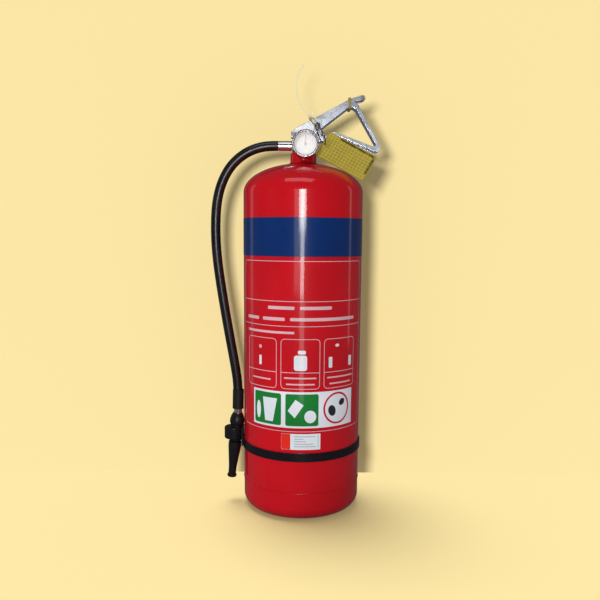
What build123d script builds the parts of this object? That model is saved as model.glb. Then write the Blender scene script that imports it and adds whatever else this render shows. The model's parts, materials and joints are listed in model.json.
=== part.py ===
from build123d import *
import os
from math import asin, atan2, cos, degrees, hypot, pi, radians, sin, tan

# Nine-litre foam fire extinguisher: a welded steel tank, a squeeze-grip valve with a
# pressure gauge, a closed carry handle, and a discharge hose with its nozzle clipped to
# the side. The origin is the centre of the ring that the tank stands on. +Z is up and
# -Y is the front, where the gauge and the label face. All sizes are in millimetres.

# ---- tank ----
tank_radius = 89.0
tank_wall = 1.5
weld_height = 44.8
shoulder_height = 478.5
dome_rise = 43.0
base_corner_radius = 18.0
foot_inner_radius = 57.0
base_hollow = 13.0
joggle_lap = 9.0
joggle_gap = 0.1
weld_bead = 0.8
neck_radius = 19.3
neck_bore_radius = 15.0
neck_stand = 14.5
neck_height = shoulder_height + dome_rise + neck_stand
neck_depth = 24.0
neck_flare = 4.0
fit_gap = 0.1

# ---- valve ----
spigot_length = 22.0
collar_radius = 17.0
collar_height = 3.0
body_radius = 14.2
body_height = 17.3
guide_height = 9.0
stem_radius = 3.0
stem_clearance = 0.1
stem_neck_radius = 2.4
seat_radius = 4.5
outlet_chamber_radius = 7.0
inlet_chamber_radius = 9.0
poppet_radius = 7.4
poppet_thickness = 3.0
seat_washer_thickness = 2.0
spring_radius = 6.0
spring_wire = 1.4
spring_turns = 5
outlet_height = neck_height + 11.0
outlet_boss_radius = 9.5
outlet_reach = 15.6
outlet_bore_radius = 6.0
outlet_washer_radius = 7.4
lever_width = 20.0
lug_width = lever_width - 4.0
guide_radius = lug_width / 2
handle_seat_x = 24.3
handle_screw_z = neck_height + 29.3
handle_screw_spacing = 9.2
screw_radius = 2.0
screw_head_radius = 2.9
screw_head_height = 2.2
dip_tube_radius = 6.0
dip_tube_wall = 1.0
dip_tube_bottom = 24.0
strainer_radius = 9.0
strainer_bottom = 18.0
strainer_height = 26.0

# ---- gauge ----
gauge_x = 2.5
gauge_z = neck_height + 10.5
gauge_port_radius = 7.5
gauge_port_y = -19.4
gauge_back_y = -25.0
gauge_front_y = -38.4
gauge_radius = 19.4
gauge_window_radius = 16.3
gauge_stub_radius = 4.9
pointer_length = 11.5
pointer_width = 1.0

# ---- carry handle ----
strip_thickness = 1.6
handle_width = lever_width + 4.4
finger_hole = [
    (26.0, neck_height + 35.2),
    (71.9, neck_height + 70.1),
    (109.4, neck_height + 7.0),
    (43.0, neck_height + 31.3),
    (31.5, neck_height + 23.5),
    (26.0, neck_height + 23.5),
]
finger_hole_radii = [3.0, 10.0, 3.0, 10.0, 3.0, 2.5]
handle_edge = [
    (15.0, neck_height + 40.3),
    (73.9, neck_height + 78.2),
    (120.4, neck_height - 3.8),
    (45.0, neck_height + 26.5),
    (31.0, neck_height + 16.5),
    (15.0, neck_height + 16.5),
]
handle_edge_radii = [3.0, 11.5, 6.0, 10.0, 6.0, 3.0]

# ---- squeeze lever ----
pivot_x = -14.0
pivot_z = neck_height + 26.5
pivot_radius = 2.5
lever_rear_radius = 5.0
squeeze_angle = 2.6
lever_top_start = (-12.0, neck_height + 35.5)
lever_top_bend = (60.0, neck_height + 73.5)
lever_top_tip = (84.0, neck_height + 82.7)
lever_nose = (90.3, neck_height + 79.1)
pivot_clearance = 0.05

# ---- safety pin, pull ring, seal ----
pin_x = 19.8
pin_z = neck_height + 39.5
pin_radius = 1.5
pin_clearance = 0.3
pin_rear_y = 15.5
eye_y = -30.0
eye_outer_radius = 4.2
eye_hole_radius = 2.1
eye_thickness = 2.4
ring_wire_radius = 1.0
ring_radius = 13.5
ring_lean = 24.0
ring_yaw = 12.0
seal_front_y = -13.0
seal_strip = 1.2
seal_tail_radius = 0.6
band_x = 66.7
band_low = neck_height + 63.7
band_high = neck_height + 77.8
band_width = 3.6
band_thickness = 1.0

# ---- inspection tag ----
tag_length = 78.0
tag_height = 42.0
tag_thickness = 0.8
tag_turn = -29.5
tag_pitch = 15.0
tag_hole_radius = 2.4
tag_hole_inset = 3.9
tag_corner_radius = 1.5

# ---- hose and nozzle ----
hose_radius = 7.3
ferrule_radius = 7.1
ferrule_gap = 0.2
hose_route = [
    (-38.0, 547.0),
    (-51.0, 547.0),
    (-67.7, 544.2),
    (-84.4, 537.4),
    (-99.3, 526.6),
    (-111.0, 513.4),
    (-120.5, 496.0),
    (-127.5, 474.5),
    (-131.2, 447.0),
    (-131.6, 404.0),
    (-126.8, 356.0),
    (-114.2, 277.0),
    (-103.4, 217.0),
    (-98.4, 182.0),
    (-99.1, 149.0),
]
sleeve_radius = 8.6
sleeve_gap = 0.5
sleeve_top = 179.0
nozzle_lean = 5.65
insert_radius = 6.2
nozzle_bore_radius = 3.6

# ---- strap and nozzle clip ----
strap_bottom = 91.8
strap_width = 12.5
strap_thickness = 2.0
strap_gap = 0.1
clip_loop_radius = 14.6
clip_loop_bottom = 100.5
clip_loop_height = 19.0
clip_hole_radius = 10.1
clip_plate_thickness = 2.3
clip_plate_half_angle = 7.0

# ---- labels ----
label_thickness = 0.2
label_gap = 0.05
band_top = shoulder_height - 37.9
band_bottom = band_top - 54.3
label_bottom = 135.4
label_top = band_bottom - 5.4
label_half_angle = 71.0
sticker_bottom = 109.6
sticker_top = 133.1
sticker_left_angle = -19.0
sticker_right_angle = 18.0

parts_made = []


def finish(piece, label):
    """Name a finished piece and write it."""
    piece.part.label = label
    export_step(piece.part, f"parts/{label}.step")
    parts_made.append(label)


def front_plane(y):
    """Plane facing the front at depth y, with local x and y along world X and Z."""
    return Plane.XZ.offset(-y)


def side_profile(points, radii):
    """Closed outline in the X-Z plane with its corners rounded."""
    with BuildSketch(Plane.XZ, mode=Mode.PRIVATE) as outline:
        with BuildLine():
            FilletPolyline(*points, radius=radii, close=True)
        make_face()
    return outline.sketch


def tube_volume_error(solid, area, path_length):
    """Share by which a swept tube's volume is off its section times its length."""
    return solid.volume / (area * path_length) - 1.0


os.makedirs("parts", exist_ok=True)

# =========================== tank ===========================
inner_radius = tank_radius - tank_wall
hole_radius = neck_radius + fit_gap
outer_hole_angle = 90.0 - degrees(asin(hole_radius / tank_radius))
inner_hole_angle = 90.0 - degrees(asin(hole_radius / inner_radius))
inner_rise = dome_rise - tank_wall

with BuildPart() as tank_shell:
    with BuildSketch(Plane.XZ):
        with BuildLine():
            outer = EllipticalCenterArc((0, shoulder_height), tank_radius, dome_rise, arc_size=outer_hole_angle)
            inner = EllipticalCenterArc((0, shoulder_height), inner_radius, inner_rise, arc_size=inner_hole_angle)
            Line(outer @ 1, inner @ 1)
            Line(outer @ 0, (tank_radius, weld_height))
            Line((tank_radius, weld_height), (inner_radius, weld_height))
            Line((inner_radius, weld_height), inner @ 0)
        make_face()
    revolve(axis=Axis.Z)
finish(tank_shell, "tank_shell")

lip_outer = inner_radius - joggle_gap
lip_inner = lip_outer - tank_wall
corner_centre = (tank_radius - base_corner_radius, base_corner_radius)
inner_corner_radius = base_corner_radius - tank_wall
hollow_radius = (foot_inner_radius**2 + base_hollow**2) / (2 * base_hollow)
hollow_angle = degrees(asin(foot_inner_radius / hollow_radius))
hollow_centre_z = base_hollow - hollow_radius

with BuildPart() as tank_base:
    with BuildSketch(Plane.XZ):
        with BuildLine():
            Line((tank_radius, weld_height - fit_gap), (tank_radius, base_corner_radius))
            CenterArc(corner_centre, base_corner_radius, -90, 90)
            Line((corner_centre[0], 0), (foot_inner_radius, 0))
            CenterArc((0, hollow_centre_z), hollow_radius, 90 - hollow_angle, hollow_angle)
            Line((0, base_hollow), (0, base_hollow + tank_wall))
            CenterArc((0, hollow_centre_z + tank_wall), hollow_radius, 90 - hollow_angle, hollow_angle)
            Line((foot_inner_radius, tank_wall), (corner_centre[0], tank_wall))
            CenterArc(corner_centre, inner_corner_radius, -90, 90)
            Line((inner_radius, base_corner_radius), (inner_radius, weld_height - joggle_lap))
            Line((inner_radius, weld_height - joggle_lap), (lip_inner, weld_height - joggle_lap))
            Line((lip_inner, weld_height - joggle_lap), (lip_inner, weld_height + joggle_lap))
            Line((lip_inner, weld_height + joggle_lap), (lip_outer, weld_height + joggle_lap))
            Line((lip_outer, weld_height + joggle_lap), (lip_outer, weld_height - fit_gap))
            Line((lip_outer, weld_height - fit_gap), (tank_radius, weld_height - fit_gap))
        make_face()
        with Locations((tank_radius, weld_height - 2 * weld_bead)):
            Circle(weld_bead)
    revolve(axis=Axis.Z)
finish(tank_base, "tank_base")

dome_at_neck = shoulder_height + dome_rise * sin(radians(outer_hole_angle))
with BuildPart() as neck_ring:
    with BuildSketch(Plane.XZ):
        with BuildLine():
            Line((neck_bore_radius, neck_height - neck_depth), (neck_radius, neck_height - neck_depth))
            Line((neck_radius, neck_height - neck_depth), (neck_radius, dome_at_neck + fit_gap))
            Line((neck_radius, dome_at_neck + fit_gap), (neck_radius + neck_flare, dome_at_neck + fit_gap))
            TangentArc(
                (neck_radius + neck_flare, dome_at_neck + fit_gap),
                (neck_radius, dome_at_neck + fit_gap + neck_flare),
                tangent=(-1, 0),
            )
            Line((neck_radius, dome_at_neck + fit_gap + neck_flare), (neck_radius, neck_height))
            Line((neck_radius, neck_height), (neck_bore_radius, neck_height))
            Line((neck_bore_radius, neck_height), (neck_bore_radius, neck_height - neck_depth))
        make_face()
    revolve(axis=Axis.Z)
    fillet(neck_ring.edges().filter_by(GeomType.CIRCLE).group_by(Axis.Z)[-1].sort_by(SortBy.RADIUS)[-1], 1.2)
finish(neck_ring, "neck_ring")

# =========================== valve body ===========================
collar_bottom = neck_height + 0.2
collar_top = collar_bottom + collar_height
body_top = collar_top + body_height
guide_top = body_top + guide_height
spigot_bottom = neck_height - spigot_length
spigot_radius = neck_bore_radius - fit_gap
seat_face = collar_top - 3.6
outlet_chamber_bottom = seat_face + 4.0
outlet_chamber_top = collar_top + 15.4
adapter_top = spigot_bottom + 6.0
gland_bottom = outlet_chamber_top + 4.0
gland_height = 1.9
gland_radius = stem_radius + 1.7
neck_gland_radius = 16.0
neck_seal_radius = 0.85
passage_radius = 1.25
passage_y = -11.6
lug_bottom = collar_top + 12.0
handle_lug_top = pin_z - pin_radius - 1.5
spindle_centre = (gauge_x, gauge_z)

with BuildPart() as valve_body:
    with BuildSketch(Plane.XY.offset(spigot_bottom)):
        Circle(spigot_radius)
    extrude(amount=collar_top - spigot_bottom)
    with BuildSketch(Plane.XY.offset(collar_bottom)):
        Circle(collar_radius)
    extrude(amount=collar_height)
    chamfer(valve_body.edges().filter_by(GeomType.CIRCLE).group_by(Axis.Z)[-1], 0.8)
    with BuildSketch(Plane.XY.offset(collar_top)):
        Circle(body_radius)
    extrude(amount=body_height)
    fillet(valve_body.edges().filter_by(GeomType.CIRCLE).group_by(Axis.Z)[-1], 4.5)
    with BuildSketch(Plane.XY.offset(body_top - 6.0)):
        Circle(guide_radius)
    extrude(amount=guide_top - body_top + 6.0)
    # hose outlet, gauge port, pivot lug and the block that the handle is screwed to
    with BuildSketch(Plane.YZ):
        with Locations((0, outlet_height)):
            Circle(outlet_boss_radius)
    extrude(amount=-outlet_reach)
    with BuildSketch(front_plane(0)):
        with Locations(spindle_centre):
            Circle(gauge_port_radius)
    extrude(amount=-gauge_port_y)
    with BuildSketch(Plane.XZ):
        with BuildLine():
            Polyline(
                (pivot_x - 4.6, pivot_z),
                (pivot_x - 4.6, pivot_z - 3.0),
                (-8.0, lug_bottom),
                (-2.0, lug_bottom),
                (-2.0, pivot_z + 4.6),
                (pivot_x - 4.6, pivot_z + 4.6),
                (pivot_x - 4.6, pivot_z),
            )
        make_face()
    extrude(amount=lug_width / 2, both=True)
    with BuildSketch(Plane.XZ):
        with BuildLine():
            FilletPolyline(
                (2.0, lug_bottom),
                (handle_seat_x, lug_bottom + 2.0),
                (handle_seat_x, handle_lug_top),
                (handle_seat_x - 8.0, handle_lug_top),
                (2.0, handle_lug_top - 5.0),
                radius=[0.5, 1.0, 1.5, 4.0, 0.5],
                close=True,
            )
        make_face()
    extrude(amount=lug_width / 2, both=True)
    # bores
    with BuildSketch(Plane.XY.offset(spigot_bottom)):
        Circle(inlet_chamber_radius)
    extrude(amount=seat_face - spigot_bottom, mode=Mode.SUBTRACT)
    with BuildSketch(Plane.XY.offset(seat_face)):
        Circle(seat_radius)
    extrude(amount=outlet_chamber_bottom - seat_face, mode=Mode.SUBTRACT)
    with BuildSketch(Plane.XY.offset(outlet_chamber_bottom)):
        Circle(outlet_chamber_radius)
    extrude(amount=outlet_chamber_top - outlet_chamber_bottom, mode=Mode.SUBTRACT)
    with BuildSketch(Plane.XY.offset(outlet_chamber_top)):
        Circle(stem_radius + stem_clearance)
    extrude(amount=20.0, mode=Mode.SUBTRACT)
    with BuildSketch(Plane.XY.offset(gland_bottom)):
        Circle(gland_radius)
    extrude(amount=gland_height, mode=Mode.SUBTRACT)
    with BuildSketch(Plane.YZ.offset(-outlet_reach)):
        with Locations((0, outlet_height)):
            Circle(outlet_bore_radius)
    extrude(amount=outlet_reach - 5.0, mode=Mode.SUBTRACT)
    with BuildSketch(front_plane(gauge_port_y)):
        with Locations(spindle_centre):
            Circle(gauge_stub_radius + fit_gap)
    extrude(amount=-6.4, mode=Mode.SUBTRACT)
    with BuildSketch(Plane.XY.offset(spigot_bottom)):
        with Locations((gauge_x, passage_y)):
            Circle(passage_radius)
    extrude(amount=gauge_z - spigot_bottom, mode=Mode.SUBTRACT)
    with BuildSketch(front_plane(gauge_port_y)):
        with Locations(spindle_centre):
            Circle(passage_radius)
    extrude(amount=gauge_port_y - passage_y, mode=Mode.SUBTRACT)
    with BuildSketch(Plane.XY.offset(collar_bottom)):
        Circle(neck_gland_radius + neck_seal_radius + 0.1)
        Circle(spigot_radius, mode=Mode.SUBTRACT)
    extrude(amount=2 * neck_seal_radius - 0.05, mode=Mode.SUBTRACT)
    with BuildSketch(Plane.XZ.offset(-lug_width / 2)):
        with Locations((pivot_x, pivot_z)):
            Circle(pivot_radius + pivot_clearance)
    extrude(amount=lug_width, mode=Mode.SUBTRACT)
    with BuildSketch(Plane.YZ.offset(handle_seat_x)):
        with Locations((-handle_screw_spacing / 2, handle_screw_z), (handle_screw_spacing / 2, handle_screw_z)):
            Circle(screw_radius + fit_gap)
    extrude(amount=-8.0, mode=Mode.SUBTRACT)
finish(valve_body, "valve_body")

with BuildPart() as neck_seal:
    with Locations((0, 0, neck_height + neck_seal_radius + 0.02)):
        Torus(neck_gland_radius, neck_seal_radius)
finish(neck_seal, "neck_seal")

# =========================== stem, seals and spring ===========================
top_slope = atan2(lever_top_bend[1] - lever_top_start[1], lever_top_bend[0] - lever_top_start[0])
web_drop = strip_thickness / cos(top_slope)
web_under_stem = lever_top_start[1] - lever_top_start[0] * tan(top_slope) - web_drop
stem_ball_z = web_under_stem - (stem_radius + 0.15) / cos(top_slope)
washer_top = seat_face - 0.05
poppet_top = washer_top - seat_washer_thickness
spring_top = poppet_top - poppet_thickness - 0.1
spring_seat = adapter_top + 0.1
spring_collar_radius = spring_radius - spring_wire / 2 - 0.4

with BuildPart() as valve_stem:
    with BuildSketch(Plane.XZ):
        with BuildLine():
            Line((0, stem_ball_z + stem_radius), (0, spring_top - 5.0))
            Line((0, spring_top - 5.0), (spring_collar_radius, spring_top - 5.0))
            Line((spring_collar_radius, spring_top - 5.0), (spring_collar_radius, poppet_top - poppet_thickness))
            Line(
                (spring_collar_radius, poppet_top - poppet_thickness),
                (poppet_radius, poppet_top - poppet_thickness),
            )
            Line((poppet_radius, poppet_top - poppet_thickness), (poppet_radius, poppet_top))
            Line((poppet_radius, poppet_top), (stem_neck_radius, poppet_top))
            Line((stem_neck_radius, poppet_top), (stem_neck_radius, outlet_chamber_bottom + 3.0))
            Line((stem_neck_radius, outlet_chamber_bottom + 3.0), (stem_radius, outlet_chamber_bottom + 5.0))
            Line((stem_radius, outlet_chamber_bottom + 5.0), (stem_radius, stem_ball_z))
            CenterArc((0, stem_ball_z), stem_radius, 0, 90)
        make_face()
    revolve(axis=Axis.Z)
finish(valve_stem, "valve_stem")

with BuildPart() as seat_washer:
    with BuildSketch(Plane.XY.offset(poppet_top + 0.02)):
        Circle(poppet_radius - 0.2)
        Circle(stem_neck_radius + 0.1, mode=Mode.SUBTRACT)
    extrude(amount=seat_washer_thickness - 0.04)
finish(seat_washer, "seat_washer")

stem_seal_wire = (gland_radius - stem_radius - 0.2) / 2
with BuildPart() as stem_seal:
    with Locations((0, 0, gland_bottom + gland_height / 2)):
        Torus(stem_radius + 0.1 + stem_seal_wire, stem_seal_wire)
finish(stem_seal, "stem_seal")

spring_rise = spring_top - spring_seat - spring_wire
with BuildPart() as valve_spring:
    with BuildLine(Plane.XY.offset(spring_seat + spring_wire / 2)):
        coil = Helix(spring_rise / spring_turns, spring_rise, spring_radius)
    with BuildSketch(Plane(origin=coil @ 0, z_dir=coil % 0)):
        Circle(spring_wire / 2)
    sweep()
finish(valve_spring, "valve_spring")

adapter_lip_radius = neck_bore_radius - 1.0
adapter_bottom = spigot_bottom - 6.0
with BuildPart() as tube_adapter:
    with BuildSketch(Plane.XY.offset(adapter_bottom)):
        Circle(adapter_lip_radius)
    extrude(amount=spigot_bottom - adapter_bottom - fit_gap)
    with BuildSketch(Plane.XY.offset(adapter_bottom)):
        Circle(inlet_chamber_radius - fit_gap)
    extrude(amount=adapter_top - adapter_bottom)
    with BuildSketch(Plane.XY.offset(adapter_bottom)):
        Circle(dip_tube_radius - dip_tube_wall)
    extrude(amount=adapter_top - adapter_bottom, mode=Mode.SUBTRACT)
    with BuildSketch(Plane.XY.offset(adapter_bottom)):
        Circle(dip_tube_radius + 0.05)
    extrude(amount=9.0, mode=Mode.SUBTRACT)
finish(tube_adapter, "tube_adapter")

dip_tube_top = adapter_bottom + 8.9
with BuildPart() as dip_tube:
    with BuildSketch(Plane.XY.offset(dip_tube_bottom)):
        Circle(dip_tube_radius)
        Circle(dip_tube_radius - dip_tube_wall, mode=Mode.SUBTRACT)
    extrude(amount=dip_tube_top - dip_tube_bottom)
finish(dip_tube, "dip_tube")

with BuildPart() as tube_strainer:
    with BuildSketch(Plane.XY.offset(strainer_bottom)):
        Circle(strainer_radius)
    extrude(amount=strainer_height)
    with BuildSketch(Plane.XY.offset(strainer_bottom + 1.5)):
        Circle(strainer_radius - 1.5)
    extrude(amount=strainer_height - 4.0, mode=Mode.SUBTRACT)
    with BuildSketch(Plane.XY.offset(strainer_bottom + strainer_height - 3.0)):
        Circle(dip_tube_radius + 0.05)
    extrude(amount=3.0, mode=Mode.SUBTRACT)
    with BuildSketch(Plane.XY.offset(strainer_bottom + 3.0)):
        with PolarLocations(strainer_radius - 0.7, 10):
            Rectangle(3.0, 1.6)
    extrude(amount=strainer_height - 9.0, mode=Mode.SUBTRACT)
finish(tube_strainer, "tube_strainer")

# =========================== pressure gauge ===========================
case_wall = 1.4
case_radius = gauge_radius - 0.8
gauge_neck_radius = 8.0
case_front_y = gauge_front_y + 3.4
dial_y = case_front_y + 3.2
pointer_y = dial_y - 1.4
window_y = case_front_y

with BuildPart() as gauge_case:
    with BuildSketch(front_plane(gauge_back_y)):
        with Locations(spindle_centre):
            Circle(case_radius)
    extrude(amount=gauge_back_y - case_front_y)
    fillet(gauge_case.edges().filter_by(GeomType.CIRCLE).group_by(Axis.Y)[-1], 1.2)
    with BuildSketch(front_plane(gauge_back_y - case_wall)):
        with Locations(spindle_centre):
            Circle(case_radius - case_wall)
    extrude(amount=gauge_back_y - case_wall - case_front_y, mode=Mode.SUBTRACT)
    with BuildSketch(front_plane(gauge_port_y - 1.2)):
        with Locations(spindle_centre):
            RegularPolygon(gauge_neck_radius, 6)
    extrude(amount=gauge_port_y - 1.2 - gauge_back_y + 0.4)
    with BuildSketch(front_plane(gauge_port_y + 6.2)):
        with Locations(spindle_centre):
            Circle(gauge_stub_radius)
    extrude(amount=8.0)
    with BuildSketch(front_plane(gauge_port_y + 6.2)):
        with Locations(spindle_centre):
            Circle(passage_radius)
    extrude(amount=13.8, mode=Mode.SUBTRACT)
finish(gauge_case, "gauge_case")

with BuildPart() as gauge_washer:
    with BuildSketch(front_plane(gauge_port_y - 0.1)):
        with Locations(spindle_centre):
            Circle(gauge_port_radius - 0.5)
            Circle(gauge_stub_radius + 0.1, mode=Mode.SUBTRACT)
    extrude(amount=1.0)
finish(gauge_washer, "gauge_washer")

tube_arc_radius = 10.5
with BuildPart() as bourdon_tube:
    with BuildSketch(front_plane(gauge_back_y - case_wall - 0.1)):
        with Locations(spindle_centre):
            Circle(3.2)
            Circle(passage_radius, mode=Mode.SUBTRACT)
    extrude(amount=2.0)
    with BuildSketch(front_plane(gauge_back_y - case_wall - 0.6)):
        with Locations(spindle_centre):
            Circle(tube_arc_radius)
            Circle(tube_arc_radius - 1.6, mode=Mode.SUBTRACT)
        with Locations((gauge_x + tube_arc_radius * 0.72, gauge_z + tube_arc_radius * 0.72)):
            Rectangle(tube_arc_radius, tube_arc_radius, mode=Mode.SUBTRACT)
        with Locations((gauge_x, gauge_z - tube_arc_radius / 2 - 1.2)):
            Rectangle(1.6, tube_arc_radius - 3.6)
    extrude(amount=1.5)
finish(bourdon_tube, "bourdon_tube")

with BuildPart() as gauge_dial:
    with BuildSketch(front_plane(dial_y)):
        with Locations(spindle_centre):
            Circle(case_radius - case_wall - 0.05)
            Circle(1.3, mode=Mode.SUBTRACT)
    extrude(amount=0.6)
finish(gauge_dial, "gauge_dial")

with BuildPart() as gauge_pointer:
    with BuildSketch(front_plane(pointer_y)):
        with Locations(spindle_centre):
            Circle(1.9)
        with Locations((gauge_x, gauge_z + pointer_length / 2 - 1.5)):
            Rectangle(pointer_width, pointer_length + 3.0)
    extrude(amount=0.4)
finish(gauge_pointer, "gauge_pointer")

with BuildPart() as gauge_spindle:
    with BuildSketch(front_plane(dial_y + 2.2)):
        with Locations(spindle_centre):
            Circle(1.0)
    extrude(amount=dial_y + 2.2 - pointer_y)
    with BuildSketch(front_plane(dial_y + 1.4)):
        with Locations(spindle_centre):
            Circle(3.4)
    extrude(amount=0.8)
finish(gauge_spindle, "gauge_spindle")

with BuildPart() as gauge_window:
    with BuildSketch(front_plane(window_y)):
        with Locations(spindle_centre):
            Circle(case_radius)
    extrude(amount=1.6)
finish(gauge_window, "gauge_window")

with BuildPart() as gauge_bezel:
    with BuildSketch(front_plane(case_front_y + 4.0)):
        with Locations(spindle_centre):
            Circle(gauge_radius)
            Circle(case_radius + 0.05, mode=Mode.SUBTRACT)
    extrude(amount=case_front_y + 4.0 - gauge_front_y)
    with BuildSketch(front_plane(window_y - 1.65)):
        with Locations(spindle_centre):
            Circle(gauge_radius)
            Circle(gauge_window_radius, mode=Mode.SUBTRACT)
    extrude(amount=window_y - 1.65 - gauge_front_y)
    fillet(gauge_bezel.edges().filter_by(GeomType.CIRCLE).group_by(Axis.Y)[0], 0.7)
finish(gauge_bezel, "gauge_bezel")

# =========================== carry handle ===========================
hole_outline = side_profile(finger_hole, finger_hole_radii)
edge_outline = side_profile(handle_edge, handle_edge_radii)
web_outline = offset(hole_outline, amount=strip_thickness, kind=Kind.ARC)
flange_outer_y = handle_width / 2
pin_slot_radius = pin_radius + pin_clearance

with BuildPart() as carry_handle:
    with BuildSketch(Plane.XZ):
        add(web_outline)
        add(hole_outline, mode=Mode.SUBTRACT)
    extrude(amount=flange_outer_y, both=True)
    for side in (-1, 1):
        with BuildSketch(Plane.XZ.offset(side * (flange_outer_y - strip_thickness / 2))):
            add(edge_outline)
            add(hole_outline, mode=Mode.SUBTRACT)
        extrude(amount=strip_thickness / 2, both=True)
    with BuildSketch(Plane.XZ.offset(-flange_outer_y - 1.0)):
        with Locations((pin_x, pin_z)):
            Circle(pin_slot_radius)
    extrude(amount=handle_width + 2.0, mode=Mode.SUBTRACT)
    with BuildSketch(Plane.YZ.offset(handle_seat_x - 1.0)):
        with Locations((-handle_screw_spacing / 2, handle_screw_z), (handle_screw_spacing / 2, handle_screw_z)):
            Circle(screw_radius + fit_gap)
    extrude(amount=4.0, mode=Mode.SUBTRACT)
finish(carry_handle, "carry_handle")

screw_seat_x = finger_hole[0][0]
with BuildPart() as handle_screws:
    with BuildSketch(Plane.YZ.offset(screw_seat_x + 0.03)):
        with Locations((-handle_screw_spacing / 2, handle_screw_z), (handle_screw_spacing / 2, handle_screw_z)):
            Circle(screw_head_radius)
    extrude(amount=screw_head_height)
    fillet(handle_screws.edges().filter_by(GeomType.CIRCLE).group_by(Axis.X)[-1], 0.9)
    with BuildSketch(Plane.YZ.offset(handle_seat_x - 7.0)):
        with Locations((-handle_screw_spacing / 2, handle_screw_z), (handle_screw_spacing / 2, handle_screw_z)):
            Circle(screw_radius)
    extrude(amount=screw_seat_x + 0.5 - handle_seat_x + 7.0)
finish(handle_screws, "handle_screws")

# =========================== squeeze lever ===========================
slot_shift_x = -(pin_z - pivot_z) * radians(squeeze_angle)
slot_shift_z = (pin_x - pivot_x) * radians(squeeze_angle)
slot_end = (pin_x + slot_shift_x * 1.1, pin_z + slot_shift_z * 1.1)
lever_under = [
    (88.0, neck_height + 76.6),
    (84.0, neck_height + 75.2),
    (71.5, neck_height + 73.2),
    (60.0, neck_height + 69.3),
    (40.0, neck_height + 53.0),
    (24.6, neck_height + 42.2),
    (23.0, neck_height + 36.2),
    (17.5, neck_height + 32.6),
    (4.0, neck_height + 26.2),
    (-8.0, neck_height + 22.6),
]
lever_half = lever_width / 2
tip_corner = 7.5
tip_square = 15.0

with BuildPart() as squeeze_lever:
    # side view of the whole lever, then the channel's inside taken out below the web
    with BuildSketch(Plane.XZ):
        with BuildLine():
            back = CenterArc((pivot_x, pivot_z), lever_rear_radius, 95, 175)
            rise = Line(back @ 0, (lever_top_start[0] - 1.0, lever_top_start[1] - 0.53))
            straight = Line(rise @ 1, lever_top_bend)
            crown = TangentArc(lever_top_bend, lever_top_tip, tangent=straight % 1)
            nose = TangentArc(lever_top_tip, lever_nose, tangent=crown % 1)
            Polyline(nose @ 1, *lever_under, back @ 1)
        make_face()
    extrude(amount=lever_half, both=True)
    with BuildSketch(Plane.XZ):
        with BuildLine():
            inside_start = (pivot_x - lever_rear_radius - 2.0, pivot_z)
            inside_top = (lever_top_start[0] - 1.0, lever_top_start[1] - 0.53 - web_drop)
            inside_bend = (lever_top_bend[0], lever_top_bend[1] - web_drop)
            inside_line = Line(inside_top, inside_bend)
            inside_crown = TangentArc(
                inside_bend, (lever_top_tip[0] + 0.3, lever_top_tip[1] - strip_thickness - 0.3),
                tangent=inside_line % 1,
            )
            Polyline(
                inside_crown @ 1,
                (lever_top_tip[0] + 1.0, pivot_z - 20.0),
                (inside_start[0], pivot_z - 20.0),
                (inside_start[0], pivot_z + 4.6),
                inside_top,
            )
        make_face()
    extrude(amount=lever_half - strip_thickness, both=True, mode=Mode.SUBTRACT)
    # rounded plan shape of the tip
    with BuildSketch(Plane.XY.offset(pivot_z)):
        with Locations((lever_nose[0] - tip_square / 2 + 1.0, 0)):
            Rectangle(tip_square, lever_width + 2.0)
        with Locations((lever_nose[0] - tip_square, 0)):
            RectangleRounded(2 * tip_square, lever_width, tip_corner, mode=Mode.SUBTRACT)
    extrude(amount=lever_nose[1] - pivot_z + 10.0, mode=Mode.SUBTRACT)
    with BuildSketch(Plane.XZ.offset(-lever_half - 1.0)):
        with Locations((pivot_x, pivot_z)):
            Circle(pivot_radius + pivot_clearance)
        with BuildLine():
            slot_axis = Line((pin_x, pin_z), slot_end)
        for spot in ((pin_x, pin_z), slot_end, slot_axis @ 0.5):
            with Locations(spot):
                Circle(pin_slot_radius + 0.1)
    extrude(amount=lever_width + 2.0, mode=Mode.SUBTRACT)
finish(squeeze_lever, "squeeze_lever")

with BuildPart() as lever_pivot:
    with BuildSketch(Plane.XZ.offset(-lever_half - 0.2)):
        with Locations((pivot_x, pivot_z)):
            Circle(pivot_radius)
    extrude(amount=lever_width + 0.4)
    for side in (-1, 1):
        with BuildSketch(Plane.XZ.offset(side * (lever_half + 0.9))):
            with Locations((pivot_x, pivot_z)):
                Circle(pivot_radius + 1.4)
        extrude(amount=0.75, both=True)
    fillet(lever_pivot.edges().filter_by(GeomType.CIRCLE).group_by(Axis.Y)[0], 0.6)
    fillet(lever_pivot.edges().filter_by(GeomType.CIRCLE).group_by(Axis.Y)[-1], 0.6)
finish(lever_pivot, "lever_pivot")

# =========================== safety pin and pull ring ===========================
eye_z = pin_z - pin_radius - eye_hole_radius
yaw_axis = Vector(sin(radians(ring_yaw)), -cos(radians(ring_yaw)), 0)
eye_centre = Vector(pin_x, eye_y, eye_z)
eye_plane = Plane(origin=eye_centre, x_dir=(cos(radians(ring_yaw)), sin(radians(ring_yaw)), 0), z_dir=yaw_axis)

with BuildPart() as safety_pin:
    with BuildSketch(Plane.XZ.offset(-pin_rear_y)):
        with Locations((pin_x, pin_z)):
            Circle(pin_radius)
    extrude(amount=pin_rear_y - eye_y)
    chamfer(safety_pin.edges().filter_by(GeomType.CIRCLE).group_by(Axis.Y)[-1], 0.6)
    with BuildSketch(eye_plane.offset(-eye_thickness / 2)):
        Circle(eye_outer_radius)
    extrude(amount=eye_thickness)
    with BuildSketch(eye_plane.offset(-eye_thickness)):
        Circle(eye_hole_radius)
    extrude(amount=eye_thickness * 2, mode=Mode.SUBTRACT)
finish(safety_pin, "safety_pin")

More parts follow.
